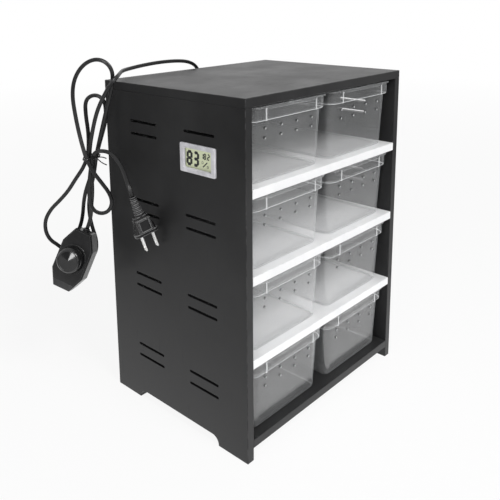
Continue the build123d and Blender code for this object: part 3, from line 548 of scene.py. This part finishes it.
# The segments that a figure lights, and each one's two ends as shares of the figure's box.
LIT_SEGMENTS = {"1": "bc", "2": "abged", "3": "abgcd", "8": "abcdefg"}
SEGMENT_ENDS = {"a": (0, 1, 1, 1), "b": (1, 1, 1, 0.5), "c": (1, 0.5, 1, 0), "d": (0, 0, 1, 0),
                "e": (0, 0.5, 0, 0), "f": (0, 1, 0, 0.5), "g": (0, 0.5, 1, 0.5)}
DIGIT_SLANT = 0.06
DIGIT_GAP = 0.012
# Places on the display are across and up from its centre. A stroke is half a bar's width.
LARGE_DIGITS = [("8", (-16.1, -6.4)), ("3", (-7.0, -6.4))]
LARGE_SIZE = (5.4, 12.4)
LARGE_STROKE = 1.5
SMALL_DIGITS = [("1", (3.4, 1.6)), ("8", (6.9, 1.6)), ("2", (11.7, 1.6))]
SMALL_SIZE = (2.3, 5.0)
SMALL_STROKE = 0.62
DECIMAL_POINT = [(10.3, 1.3), (10.9, 1.3)]
DECIMAL_STROKE = 0.34
PERCENT_BAR = [(5.3, -6.6), (11.4, -1.2)]
PERCENT_STROKE = 0.6
PERCENT_RINGS = [(4.9, -2.2), (11.9, -5.6)]
PERCENT_RADIUS = 1.1
PERCENT_RING_STROKE = 0.45
# A painted shadow: a dark line down the display's right edge, under the window's rim.
EDGE_SHADOW_LINE = [(17.0, -7.6), (17.0, 7.6)]
EDGE_SHADOW_STROKE = 0.22


def rounded_loop(half_width, half_height, radius, out, steps=7):
    """A rounded rectangle, counter-clockwise seen from the left, at that distance out from the left panel:
    a corner's centre + radius times (cos, sin) of angles that go on round the four corners."""
    angle = (np.linspace(0, np.pi / 2, steps) + np.arange(4)[:, None] * np.pi / 2).ravel()
    sign = np.repeat([(1, 1), (-1, 1), (-1, -1), (1, -1)], steps, axis=0)
    arc = np.stack([np.cos(angle), np.sin(angle)], axis=1)
    flat = sign * (half_width - radius, half_height - radius) + radius * arc
    return np.column_stack([np.full(len(flat), CABINET_LOW[0] / MM - out), -flat[:, 0], flat[:, 1]])


bezel_plastic = moulded("meter_bezel", BEZEL_GREY, roughness=0.32, grain_per_metre=1500,
                        grain_depth=0.01 * MM, Specular_IOR_Level=0.5)
loops = np.stack([rounded_loop(*row) for row in BEZEL_SECTION])
quads = ring_quads(*loops.shape[:2], closed=True)
vertices = loops.reshape(-1, 3) * MM + np.array(METER_CENTRE) * (0, 1, 1)
bezel = mesh_piece("bezel_frame", vertices, quads.reshape(-1, 4), bezel_plastic, "cabinet", smooth=False)
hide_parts("meter_bezel")

case_plastic = moulded("meter_case", CASE_GREY, roughness=0.4)
dress(["meter_case", "meter_battery_door"], case_plastic)

display, shader = finish("display", DISPLAY_GREEN, roughness=0.35)
silvering = noise(display, coordinates(display), per_metre=4000, detail=1)
darker_green = tuple(0.9 * c for c in DISPLAY_GREEN)
join(display, blend_of(display, silvering, DISPLAY_GREEN, darker_green), shader.inputs["Base Color"])
dress(["meter_display"], display)

clear_lens = bpy.data.materials.new("clear_lens")
clear_lens.use_nodes = True
clear_lens.node_tree.nodes.clear()
sheen = math_of(clear_lens, sheen_of(clear_lens, LENS_SHEEN, 1 - LENS_SHEEN), LENS_KEPT_SHEEN, "MULTIPLY")
scratches = noise(clear_lens, coordinates(clear_lens), per_metre=700, detail=3)
scuffs = spread(clear_lens, scratches, (0.3, 0.8), (0.03, 0.12))
mirror = add(clear_lens, "BsdfAnisotropic", {"Color": WHITE, "Roughness": scuffs}).outputs[0]
through = add(clear_lens, "BsdfTransparent", {"Color": LENS_TINT}).outputs[0]
pane = add(clear_lens, "MixShader", {0: sheen, 1: through, 2: mirror}).outputs[0]
add(clear_lens, "OutputMaterial", {"Surface": pane})
dress(["meter_lens"], clear_lens)

circuit_green = moulded("circuit_board", CIRCUIT_GREEN, roughness=0.4)
dress(["meter_circuit_board", "dimmer_circuit_board"], circuit_green)
cell_steel = moulded("cell_steel", CELL_STEEL, roughness=0.28, grain_per_metre=3000,
                     grain_depth=0.004 * MM, Metallic=1.0)
dress(["meter_button_cells"], cell_steel)


def bars(ends, half_width):
    """Six-cornered bars between pairs of points: each end tapers over a quarter of the bar's width."""
    ends = np.asarray(ends, float).reshape(-1, 2, 2)
    along = unit(ends[:, 1] - ends[:, 0])
    across = np.stack([-along[:, 1], along[:, 0]], axis=1)
    start, stop, lean, side = ends[:, 0], ends[:, 1], along * half_width / 2, across * half_width
    return np.stack([start, start + lean - side, stop - lean - side, stop, stop - lean + side,
                     start + lean + side], axis=1)


def digit(character, place, size):
    """The ends of a digit's lit segments, in a box of that size that leans over, with its foot at place. A
    gap in proportion to its height parts the segments."""
    ends = np.array([SEGMENT_ENDS[s] for s in LIT_SEGMENTS[character]]).reshape(-1, 2, 2) * size
    ends = ends + DIGIT_GAP * size[1] * np.sign(ends[:, ::-1] - ends)
    ends[..., 0] += DIGIT_SLANT * ends[..., 1]
    return ends + place


def circle(count):
    """Evenly spaced (cos, sin) pairs."""
    angle = np.linspace(0, 2 * np.pi, count, endpoint=False)
    return np.stack([np.cos(angle), np.sin(angle)], axis=1)


def ring(centre, radius, half_width, count=20):
    """A flat ring: count bars between points at centre + radius times (cos, sin)."""
    points = np.array(centre) + radius * circle(count)
    return bars(np.stack([points, np.roll(points, -1, axis=0)], axis=1), half_width)


shapes = [bars(digit(figure, place, LARGE_SIZE), LARGE_STROKE) for figure, place in LARGE_DIGITS]
shapes += [bars(digit(figure, place, SMALL_SIZE), SMALL_STROKE) for figure, place in SMALL_DIGITS]
shapes += [bars(DECIMAL_POINT, DECIMAL_STROKE), bars(PERCENT_BAR, PERCENT_STROKE)]
shapes += [ring(centre, PERCENT_RADIUS, PERCENT_RING_STROKE) for centre in PERCENT_RINGS]
shapes += [bars(EDGE_SHADOW_LINE, EDGE_SHADOW_STROKE)]
corners = np.concatenate(shapes).reshape(-1, 2) * MM
vertices = np.stack([np.full(len(corners), INK_FACE), METER_CENTRE[1] - corners[:, 0],
                     METER_CENTRE[2] + corners[:, 1]], axis=1)
faces = np.arange(len(corners)).reshape(-1, 6)
# The ink draws the digits and the painted shadow line.
ink_and_painted_shadow = moulded("ink_and_painted_shadow", DIGIT_BLACK, roughness=0.5)
digits_and_painted_shadow = mesh_piece("meter_digits", vertices, faces, ink_and_painted_shadow, "cabinet", smooth=False)


# Dimmer. A two-part housing of glossy black plastic, screwed together from the back, with
# a collar and a turned knob whose shallow hollow cone catches the light in a wedge.

DIMMER_BLACK = (0.008, 0.008, 0.0084)
DIMMER_EDGE_HIGHLIGHT = (0.12, 0.12, 0.121)
LIT_FACET_GREY = (0.04, 0.04, 0.041)
KNOB_BLACK = (0.009, 0.009, 0.0094)
STEEL_GREY = (0.55, 0.55, 0.54)
DIMMER_MIDDLE = (-170.3, 125.9, 161.5)
DIMMER_LONG = (-0.393, 0.156, -0.906)
DIMMER_FRONT = (-0.802, -0.541, 0.254)
# Corners of one side of the front shell: along it towards its lower end, across it, out of it.
SHELL_PARTING = [(34, 10, 0), (16.5, 19, 0), (-16.5, 19, 0), (-34, 10, 0)]
SHELL_SHOULDER = [(34, 10, 7.8), (16.5, 19, 7.4), (-16.5, 19, 7.4), (-34, 10, 7.4)]
SHELL_FACE = [(26.5, 12.2, 9), (15.9, 17.4, 9), (-15.9, 17.4, 9), (-32.4, 9.1, 9)]
KNOB_MIDDLE = (-0.5, 0.0, 0.0)
# Radius and height of a turned part's section, from its back round its outside to its face.
KNOB_SECTION = [
    (0, 9.7), (13.3, 9.7), (13.8, 9.9), (14, 10.4), (14, 18.2), (13.85, 18.9), (13.5, 19.5),
    (12.1, 21.1), (11.6, 21.5), (11.1, 21.6), (10.8, 21.5), (10.6, 21.27), (10.4, 21.24),
    (10.1, 21.21), (8, 20.98), (6, 20.77), (4, 20.55), (2, 20.34), (1, 20.23), (0.6, 20.185),
    (0.3, 20.155), (0, 20.13),
]
COLLAR_SECTION = [
    (14.9, 8.8), (17.3, 8.8), (17.3, 9.5), (17.1, 9.9), (16.7, 10.1), (15.3, 10.1), (14.95, 9.8),
]


def painted_edge_highlights(material, radius, colour):
    """Painted highlights along edges: a paler colour where the normal rounded over that radius departs from
    the face's own normal.
    """
    shader = material.node_tree.nodes["Principled BSDF"]
    rounded = add(material, "Bevel", {"Radius": radius}, samples=8).outputs[0]
    straight = add(material, "NewGeometry").outputs["True Normal"]
    alike = add(material, "VectorMath", {0: rounded, 1: straight}, operation="DOT_PRODUCT").outputs["Value"]
    body = shader.inputs["Base Color"].links[0].from_socket
    edge_highlight = spread(material, alike, (0.99, 0.88), (0, 1))
    join(material, blend_of(material, edge_highlight, body, colour), shader.inputs["Base Color"])


def in_dimmer(points):
    """Places along the dimmer, across it and out of its face, in millimetres, taken to the row frame: the
    middle + each number times the dimmer's own direction for it."""
    front, long = unit(np.array(DIMMER_FRONT)), unit(np.array(DIMMER_LONG))
    axes = np.stack([long, np.cross(front, long), front])
    return (np.asarray(points, float) @ axes + DIMMER_MIDDLE) * MM


def both_sides(side):
    """A closed loop of one side's corners and their mirror images; its first edge is the lower end's."""
    side = np.array(side, float)
    other = side[::-1] * (1, -1, 1)
    return np.concatenate([other[-1:], side, other[:-1]])


def lathe(section, middle, steps=120):
    """A body turned about the dimmer's front direction. Point (i, j) = middle + radius i times (cos j,
    sin j) along the dimmer's two face axes + height i along its front. Points on the axis become one pole
    each."""
    radius, height = np.array(section, float).T
    flat = radius[:, None, None] * circle(steps)
    rings = np.dstack([flat, np.repeat(height[:, None], steps, 1)]).reshape(-1, 3) + middle
    quads = ring_quads(len(radius), steps, closed=True)
    points = in_dimmer(rings)
    if radius[0] > 0:
        return points, quads.reshape(-1, 4)
    last = (len(radius) - 1) * steps
    first_fan = np.stack([np.zeros(steps, int), quads[0, :, 2], quads[0, :, 3]], axis=1)
    last_fan = np.stack([quads[-2, :, 0], quads[-2, :, 1], np.full(steps, last)], axis=1)
    faces = [*first_fan, *quads[1:-2].reshape(-1, 4), *last_fan]
    used = np.unique(np.concatenate([f.ravel() for f in (first_fan, quads[1:-2], last_fan)]))
    return points[used], [np.searchsorted(used, face) for face in faces]


dimmer_gloss = moulded("dimmer_gloss", DIMMER_BLACK, roughness=0.24, grain_per_metre=900,
                       grain_depth=0.01 * MM, Specular_IOR_Level=0.2)
# Painted highlights along the housing's edges.
painted_edge_highlights(dimmer_gloss, radius=0.9 * MM, colour=DIMMER_EDGE_HIGHLIGHT)
dress(["dimmer_back_shell", "dimmer_bushes"], dimmer_gloss)
# Painted light: the lower facet is paler, for the light that falls on it.
painted_lit_facet = moulded("painted_lit_facet", LIT_FACET_GREY, roughness=0.45, grain_per_metre=900,
                     grain_depth=0.02 * MM, Specular_IOR_Level=0.2)

levels = np.stack([both_sides(side) for side in (SHELL_PARTING, SHELL_SHOULDER, SHELL_FACE)])
rows, around = levels.shape[:2]
parting, face = np.arange(around)[::-1], (rows - 1) * around + np.arange(around)
faces = [*ring_quads(rows, around).reshape(-1, 4), face, parting]
corners = in_dimmer(levels.reshape(-1, 3))
front_shell = mesh_piece("dimmer_front", corners, faces, dimmer_gloss, "cabinet", smooth=False)
front_shell.data.materials.append(painted_lit_facet)
# The upper ring of faces starts with the long facet at the lower end, painted lighter for the light it
# catches.
lower_facet = around
front_shell.data.polygons[lower_facet].material_index = 1
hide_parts("dimmer_front_shell")

knob_gloss = moulded("knob_gloss", KNOB_BLACK, roughness=0.09, grain_per_metre=900,
                     grain_depth=0.001 * MM, Specular_IOR_Level=0.45)
knob = mesh_piece("turned_knob", *lathe(KNOB_SECTION, KNOB_MIDDLE), knob_gloss, "knob")
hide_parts("dimmer_knob")
collar = mesh_piece("dimmer_collar", *lathe(COLLAR_SECTION, KNOB_MIDDLE), dimmer_gloss, "cabinet")
steel = moulded("steel", STEEL_GREY, roughness=0.3, grain_per_metre=3000,
                grain_depth=0.004 * MM, Metallic=1.0)
dress(["dimmer_screws", "dimmer_shaft", "dimmer_potentiometer"], steel)


# Leads. Two-core flat flex in black rubber: one stretch from the gland over the top to the
# dimmer, and one from the dimmer's heel through the hank's bights to the plug.

RUBBER_BLACK = (0.008, 0.008, 0.0084)
FLEX_WIDTH = 4.3 * MM
FLEX_THICKNESS = 3.1 * MM
FLEX_ROUNDING = 0.75
FLEX_GROOVE = 0.22
FLEX_GROOVE_WIDTH = 0.16
FLEX_FACING = (-0.43, -0.90, 0.0)
HEATER_ROUTE = [
    (14, 104.5, 215), (14, 113.5, 215), (14.5, 122, 221.5), (16, 124, 235), (17.5, 123, 256),
    (18.5, 119.5, 284), (18.5, 115.5, 312), (17.5, 112, 338), (16.5, 110.5, 353), (10, 110, 365),
    (-3, 110, 371.5), (-22, 110, 374), (-49, 110.5, 374.5), (-76.5, 110, 373), (-100, 105, 371.5),
    (-114.5, 96.5, 371.5), (-126, 85.5, 371), (-136.5, 75, 370), (-144, 72, 366.5),
    (-149.5, 74.5, 359.5), (-152.5, 80.5, 349), (-154, 88, 337.5), (-155, 94.5, 324),
    (-155.5, 100, 309), (-156, 104.5, 295), (-157, 106, 281), (-156, 105.5, 262), (-154.5, 107, 242),
    (-153.5, 112.5, 223), (-151.6, 118.5, 204.5), (-155.94, 120.2, 194.62),
]
MAINS_ROUTE = [
    (-177.14, 134.85, 130.4), (-174.9, 138.7, 124), (-168.5, 145, 121.5), (-162.5, 150.5, 125.5),
    (-160.5, 151, 134.5), (-161, 149.5, 145), (-163, 149.5, 154.5), (-167, 151.5, 163),
    (-172.5, 156, 170.5), (-179.5, 160.5, 177.5), (-184, 162, 189), (-184.5, 160, 203.5),
    (-180.5, 152.5, 217), (-174.5, 143, 227.5), (-168.5, 133.5, 239.5), (-163.5, 126, 253),
    (-157.5, 117.5, 267), (-154, 113, 281), (-153.5, 111, 294.5), (-154, 110, 309.5),
    (-155.5, 110.5, 325.5), (-155.5, 110.5, 341), (-151, 106, 347.5), (-145, 100, 347.5),
    (-141, 95, 341), (-140.5, 94.5, 329.5), (-141, 96, 318), (-143, 99, 306.5), (-145.5, 102.5, 294),
    (-147.5, 106, 281), (-149, 111, 267), (-151, 117, 252), (-152.5, 124, 237), (-152, 130, 222.5),
    (-150.5, 135, 207.5), (-151.5, 139, 193.5), (-155.5, 143, 182), (-160.5, 146, 171.5),
    (-160.5, 143.5, 160), (-155.5, 136.5, 153), (-147.5, 128.5, 153), (-142, 124.5, 162.5),
    (-141, 125, 176.5), (-143.5, 128, 190.5), (-146.5, 128, 206.5), (-150, 123, 223),
    (-151, 115.5, 242), (-151, 107, 262), (-151, 102, 281), (-149, 98, 297), (-146, 94, 315),
    (-143.5, 89, 333.5), (-141.5, 83.5, 350), (-140.5, 79.5, 364), (-141, 79, 376), (-145, 84, 384.5),
    (-150.5, 92.5, 387.5), (-156.5, 102, 384), (-162, 110, 375), (-165.5, 115.5, 362),
    (-167, 116.5, 346.5), (-166.5, 114, 328), (-166, 110, 310), (-166, 104.5, 294.5), (-165.5, 99, 281),
    (-161, 94.5, 266.5), (-152, 91.5, 252), (-145.5, 88.5, 240.5), (-143, 87.5, 229),
    (-145.5, 91.5, 219), (-151.5, 98, 216), (-158, 104, 221), (-160.5, 105.5, 234.5),
    (-161, 103.5, 251), (-160, 100.9, 267), (-158, 99.5, 281), (-156, 95, 288.5), (-150.5, 85.5, 289.5),
    (-148.5, 76, 287), (-149, 65.5, 281.5), (-152, 53.5, 274.5), (-157.3, 41, 266.4),
    (-159.6, 33.7, 258.6), (-157.91, 31.91, 251.05),
]

rubber = moulded("cord_rubber", RUBBER_BLACK, roughness=0.3, grain_per_metre=1800,
                 grain_depth=0.01 * MM, Specular_IOR_Level=0.35)


def laid_route(name, route):
    """The lead's line: a quadratic NURBS spline whose control points are the route's, in metres."""
    curve = bpy.data.curves.new(name, "CURVE")
    curve.dimensions = "3D"
    curve.resolution_u = 10
    spline = curve.splines.new("NURBS")
    spline.points.add(len(route) - 1)
    places = np.hstack([np.array(route, float) * MM, np.ones((len(route), 1))])
    spline.points.foreach_set("co", places.ravel())
    spline.order_u = 3
    spline.use_endpoint_u = True
    holder = bpy.data.objects.new(name, curve)
    mesh = bpy.data.meshes.new_from_object(holder)
    line = np.zeros(3 * len(mesh.vertices))
    mesh.vertices.foreach_get("co", line)
    bpy.data.objects.remove(holder)
    return line.reshape(-1, 3)


def swept(line, section, facing):
    """A closed section carried along a line: point (i, j) = line i + section x times the line's
    side there + section y times its upper direction, where the side is square to the line and to facing."""
    along = unit(np.gradient(line, axis=0))
    side = unit(np.cross(along, np.array(facing, float)))
    upper = np.cross(side, along)
    rings = line[:, None] + section[None, :, :1] * side[:, None] + section[None, :, 1:] * upper[:, None]
    count, around = rings.shape[:2]
    ends = [np.arange(around)[::-1], (count - 1) * around + np.arange(around)]
    return rings.reshape(-1, 3), [*ring_quads(count, around).reshape(-1, 4), *ends]


def flex_section(count=20):
    """An ellipse of the flex's width and thickness, squared up a little because its height goes as a power
    of the sine, and pinched by a bell-shaped groove between its two cores."""
    cosine, sine = circle(count).T
    x = cosine * FLEX_WIDTH / 2
    height = np.abs(sine) ** FLEX_ROUNDING * np.sign(sine) * FLEX_THICKNESS / 2
    groove = FLEX_GROOVE * np.exp(-((x / (FLEX_GROOVE_WIDTH * FLEX_WIDTH)) ** 2))
    return np.stack([x, height * (1 - groove)], axis=1)


heater_line = laid_route("heater_line", HEATER_ROUTE)
mains_line = laid_route("mains_line", MAINS_ROUTE)
heater_flex = mesh_piece("heater_flex", *swept(heater_line, flex_section(), FLEX_FACING), rubber, "cabinet")
mains_flex = mesh_piece("mains_flex", *swept(mains_line, flex_section(), FLEX_FACING), rubber, "cabinet")
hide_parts("heater_lead")
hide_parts("mains_lead")


# Tie. A plastic-coated steel wire strip goes once round the six strands of the hank, is
# twisted at the front and leaves its two ends sticking out.

TIE_HEIGHT = 281.0
TIE_CLEARANCE = 3.6
TIE_HALF_THICKNESS = 0.6
TIE_HALF_WIDTH = 1.1
TIE_TWIST = (-153.8, 97.3, 280.5)
TIE_ENDS = [(-146.6, 89.1, 272.5), (-147.3, 88.4, 280)]
TIE_END_RADIUS = 0.6
TIE_END_BOW = 1.2
TIE_END_STEPS = 14


def band(loop, outward, height):
    """A flat band round a closed loop. Its section is an ellipse, thin outward and tall upward: point
    (i, j) = loop i + half thickness times cos j outward, at height + half width times sin j."""
    thin, tall = (circle(count=12) * (TIE_HALF_THICKNESS, TIE_HALF_WIDTH)).T
    flat = loop[:, None] + thin[None, :, None] * outward[:, None]
    upright = np.broadcast_to(height + tall, flat.shape[:2])
    quads = ring_quads(*flat.shape[:2], closed=True)[..., ::-1]
    return np.dstack([flat, upright]).reshape(-1, 3) * MM, quads.reshape(-1, 4)


strands = np.array([p[:2] for p in HEATER_ROUTE + MAINS_ROUTE if p[2] == TIE_HEIGHT], float)
outward = circle(count=120)
furthest = strands[np.argmax(outward @ strands.T, axis=1)]
tie_loop = furthest + TIE_CLEARANCE * outward
tie_coat = moulded("tie_coat", RUBBER_BLACK, roughness=0.3)
tie = mesh_piece("tie_band", *band(tie_loop, outward, TIE_HEIGHT), tie_coat, "cabinet")
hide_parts("twist_tie")
for number, end in enumerate(TIE_ENDS, 1):
    along = np.linspace(0, 1, TIE_END_STEPS)[:, None]
    bow = np.sin(np.pi * along) * (0, 0, TIE_END_BOW * (-1) ** number)
    wire = ((1 - along) * np.array(TIE_TWIST) + along * np.array(end) + bow) * MM
    wire_section = TIE_END_RADIUS * MM * circle(count=10)
    tie_end = mesh_piece(f"tie_end_{number}", *swept(wire, wire_section, (1, 0, 0)), tie_coat, "cabinet")


# Plug. Black rubber moulded round two plated brass blades, with a ribbed relief where the
# flex goes in and a raised grip on its faces.

PLUG_BLACK = (0.009, 0.009, 0.0094)
PLUG_EDGE_HIGHLIGHT = (0.22, 0.22, 0.222)
PLATED_BRASS = (0.88, 0.87, 0.85)

plug_rubber = moulded("plug_rubber", PLUG_BLACK, roughness=0.28, grain_per_metre=1400,
                      grain_depth=0.0004 * MM, Specular_IOR_Level=0.3)
# Painted highlights along the plug's edges, grip frame and ribs.
painted_edge_highlights(plug_rubber, radius=1.3 * MM, colour=PLUG_EDGE_HIGHLIGHT)
dress(["plug_body"], plug_rubber)
blade_metal = moulded("blade_metal", PLATED_BRASS, roughness=0.38, grain_per_metre=2500,
                      grain_depth=0.005 * MM, Metallic=1.0)
dress(["plug_blades"], blade_metal)


# Studio. A white floor and sky, lit from the front by a large lamp high up on the left and a
# weaker one on the right, with a lamp at the left side and a small card low beside the dimmer.
# All its lengths are in metres.

SKY_LIGHT = 0.25
PAPER = (0.9, 0.9, 0.9, 1)
FLOOR_HALF = 8
# The floor sends up a pool of light, strongest round the object. The camera sees it white, but for a
# share of matt paper, which keeps the shadow and fades out further away.
POOL_CENTRE = np.array([0, -0.15, 0])
POOL_REACH = (0.2, 1.2)
POOL_STRENGTH = (1.35, 0.25)
SHADOW_REACH = (0.6, 3)
WHITE_SHARE = (0.9, 1)
# Each lamp's place, size, power in watts and the point that it faces.
LAMPS = {
    "key": ((-0.2, -1.2, 1.5), 0.6, 20.5, (0, 0, 0.18)),
    "fill": ((0.3, -1.6, 0.7), 0.8, 4.0, (0, 0, 0.18)),
    "side": ((-1.2, -0.5, 0.75), 0.4, 3.2, (0, 0, 0.18)),
    "card": ((-0.685, 0.079, 0.129), 0.05, 0.13, (-0.187, 0.1145, 0.167)),
}

world = bpy.data.worlds.new("sky")
bpy.context.scene.world = world
world.use_nodes = True
world.node_tree.nodes.clear()
rays = add(world, "LightPath").outputs
seen = math_of(world, rays["Is Camera Ray"], rays["Is Glossy Ray"], "MAXIMUM")
seen = math_of(world, seen, rays["Is Transmission Ray"], "MAXIMUM")
lighting = add(world, "Background", {"Color": WHITE, "Strength": SKY_LIGHT}).outputs[0]
backdrop = add(world, "Background", {"Color": WHITE, "Strength": 1.0}).outputs[0]
sky = add(world, "MixShader", {0: seen, 1: lighting, 2: backdrop}).outputs[0]
add(world, "OutputWorld", {"Surface": sky})

paper = bpy.data.materials.new("paper")
paper.use_nodes = True
paper.node_tree.nodes.clear()
seen = add(paper, "LightPath").outputs["Is Camera Ray"]
unseen = math_of(paper, 1.0, seen, "SUBTRACT")
from_centre = coordinates(paper, shift=-POOL_CENTRE)
away = add(paper, "VectorMath", {0: from_centre}, operation="LENGTH").outputs["Value"]
pool = spread(paper, away, POOL_REACH, POOL_STRENGTH)
glowing = math_of(paper, spread(paper, away, SHADOW_REACH, WHITE_SHARE), unseen, "MAXIMUM")
strength = math_of(paper, math_of(paper, pool, unseen, "MULTIPLY"), seen)
matt = add(paper, "BsdfDiffuse", {"Color": PAPER}).outputs[0]
bright = add(paper, "Emission", {"Color": WHITE, "Strength": strength}).outputs[0]
surface = add(paper, "MixShader", {0: glowing, 1: matt, 2: bright}).outputs[0]
add(paper, "OutputMaterial", {"Surface": surface})
floor_mesh = bpy.data.meshes.new("floor")
floor_corners = FLOOR_HALF * np.array([(-1, -1, 0), (1, -1, 0), (1, 1, 0), (-1, 1, 0)])
floor_mesh.from_pydata(floor_corners.tolist(), [], [(0, 1, 2, 3)])
floor_mesh.materials.append(paper)
floor = bpy.data.objects.new("floor", floor_mesh)
bpy.context.scene.collection.objects.link(floor)


def turned_to(place, back):
    """A matrix at place whose Z axis is back and whose X axis is level."""
    back = unit(np.array(back, float))
    right = unit(np.cross((0, 0, 1), back))
    matrix = np.eye(4)
    matrix[:3, :3] = np.stack([right, np.cross(back, right), back], axis=1)
    matrix[:3, 3] = place
    return Matrix(matrix.tolist())


for name, (place, size, power, aim) in LAMPS.items():
    light = bpy.data.lights.new(name, "AREA")
    light.size = size
    light.energy = power
    lamp = bpy.data.objects.new(name, light)
    lamp.matrix_world = turned_to(place, np.array(place) - aim)
    bpy.context.scene.collection.objects.link(lamp)


# Camera. It stands at the photograph's place, in metres, and turn, rise and roll give its angle,
# in radians. Its shift puts the lens's centre on the photograph's pixel for it.

CAMERA_PLACE = (-0.5467, -0.4749, 0.4525)
CAMERA_TURN = -0.8151
CAMERA_RISE = 0.1984
CAMERA_ROLL = -0.0120
FOCAL_PIXELS = 646.5
IMAGE_SIZE = 500
CENTRE_PIXEL = (232.1, 123.9)
SENSOR = 36.0

camera_data = bpy.data.cameras.new("camera")
camera_data.sensor_width = SENSOR
camera_data.lens = FOCAL_PIXELS * SENSOR / IMAGE_SIZE
camera_data.shift_x = 0.5 - CENTRE_PIXEL[0] / IMAGE_SIZE
camera_data.shift_y = CENTRE_PIXEL[1] / IMAGE_SIZE - 0.5
camera_data.clip_start = 0.01
camera = bpy.data.objects.new("camera", camera_data)
level = np.cos(CAMERA_RISE)
back = (np.sin(CAMERA_TURN) * level, -np.cos(CAMERA_TURN) * level, np.sin(CAMERA_RISE))
camera.matrix_world = turned_to(CAMERA_PLACE, back) @ Matrix.Rotation(CAMERA_ROLL, 4, "Z")
bpy.context.scene.collection.objects.link(camera)
bpy.context.scene.camera = camera
bpy.context.scene.view_settings.view_transform = "Standard"
# A look along the cabinet goes through many clear walls.
bpy.context.scene.cycles.transparent_max_bounces = 32
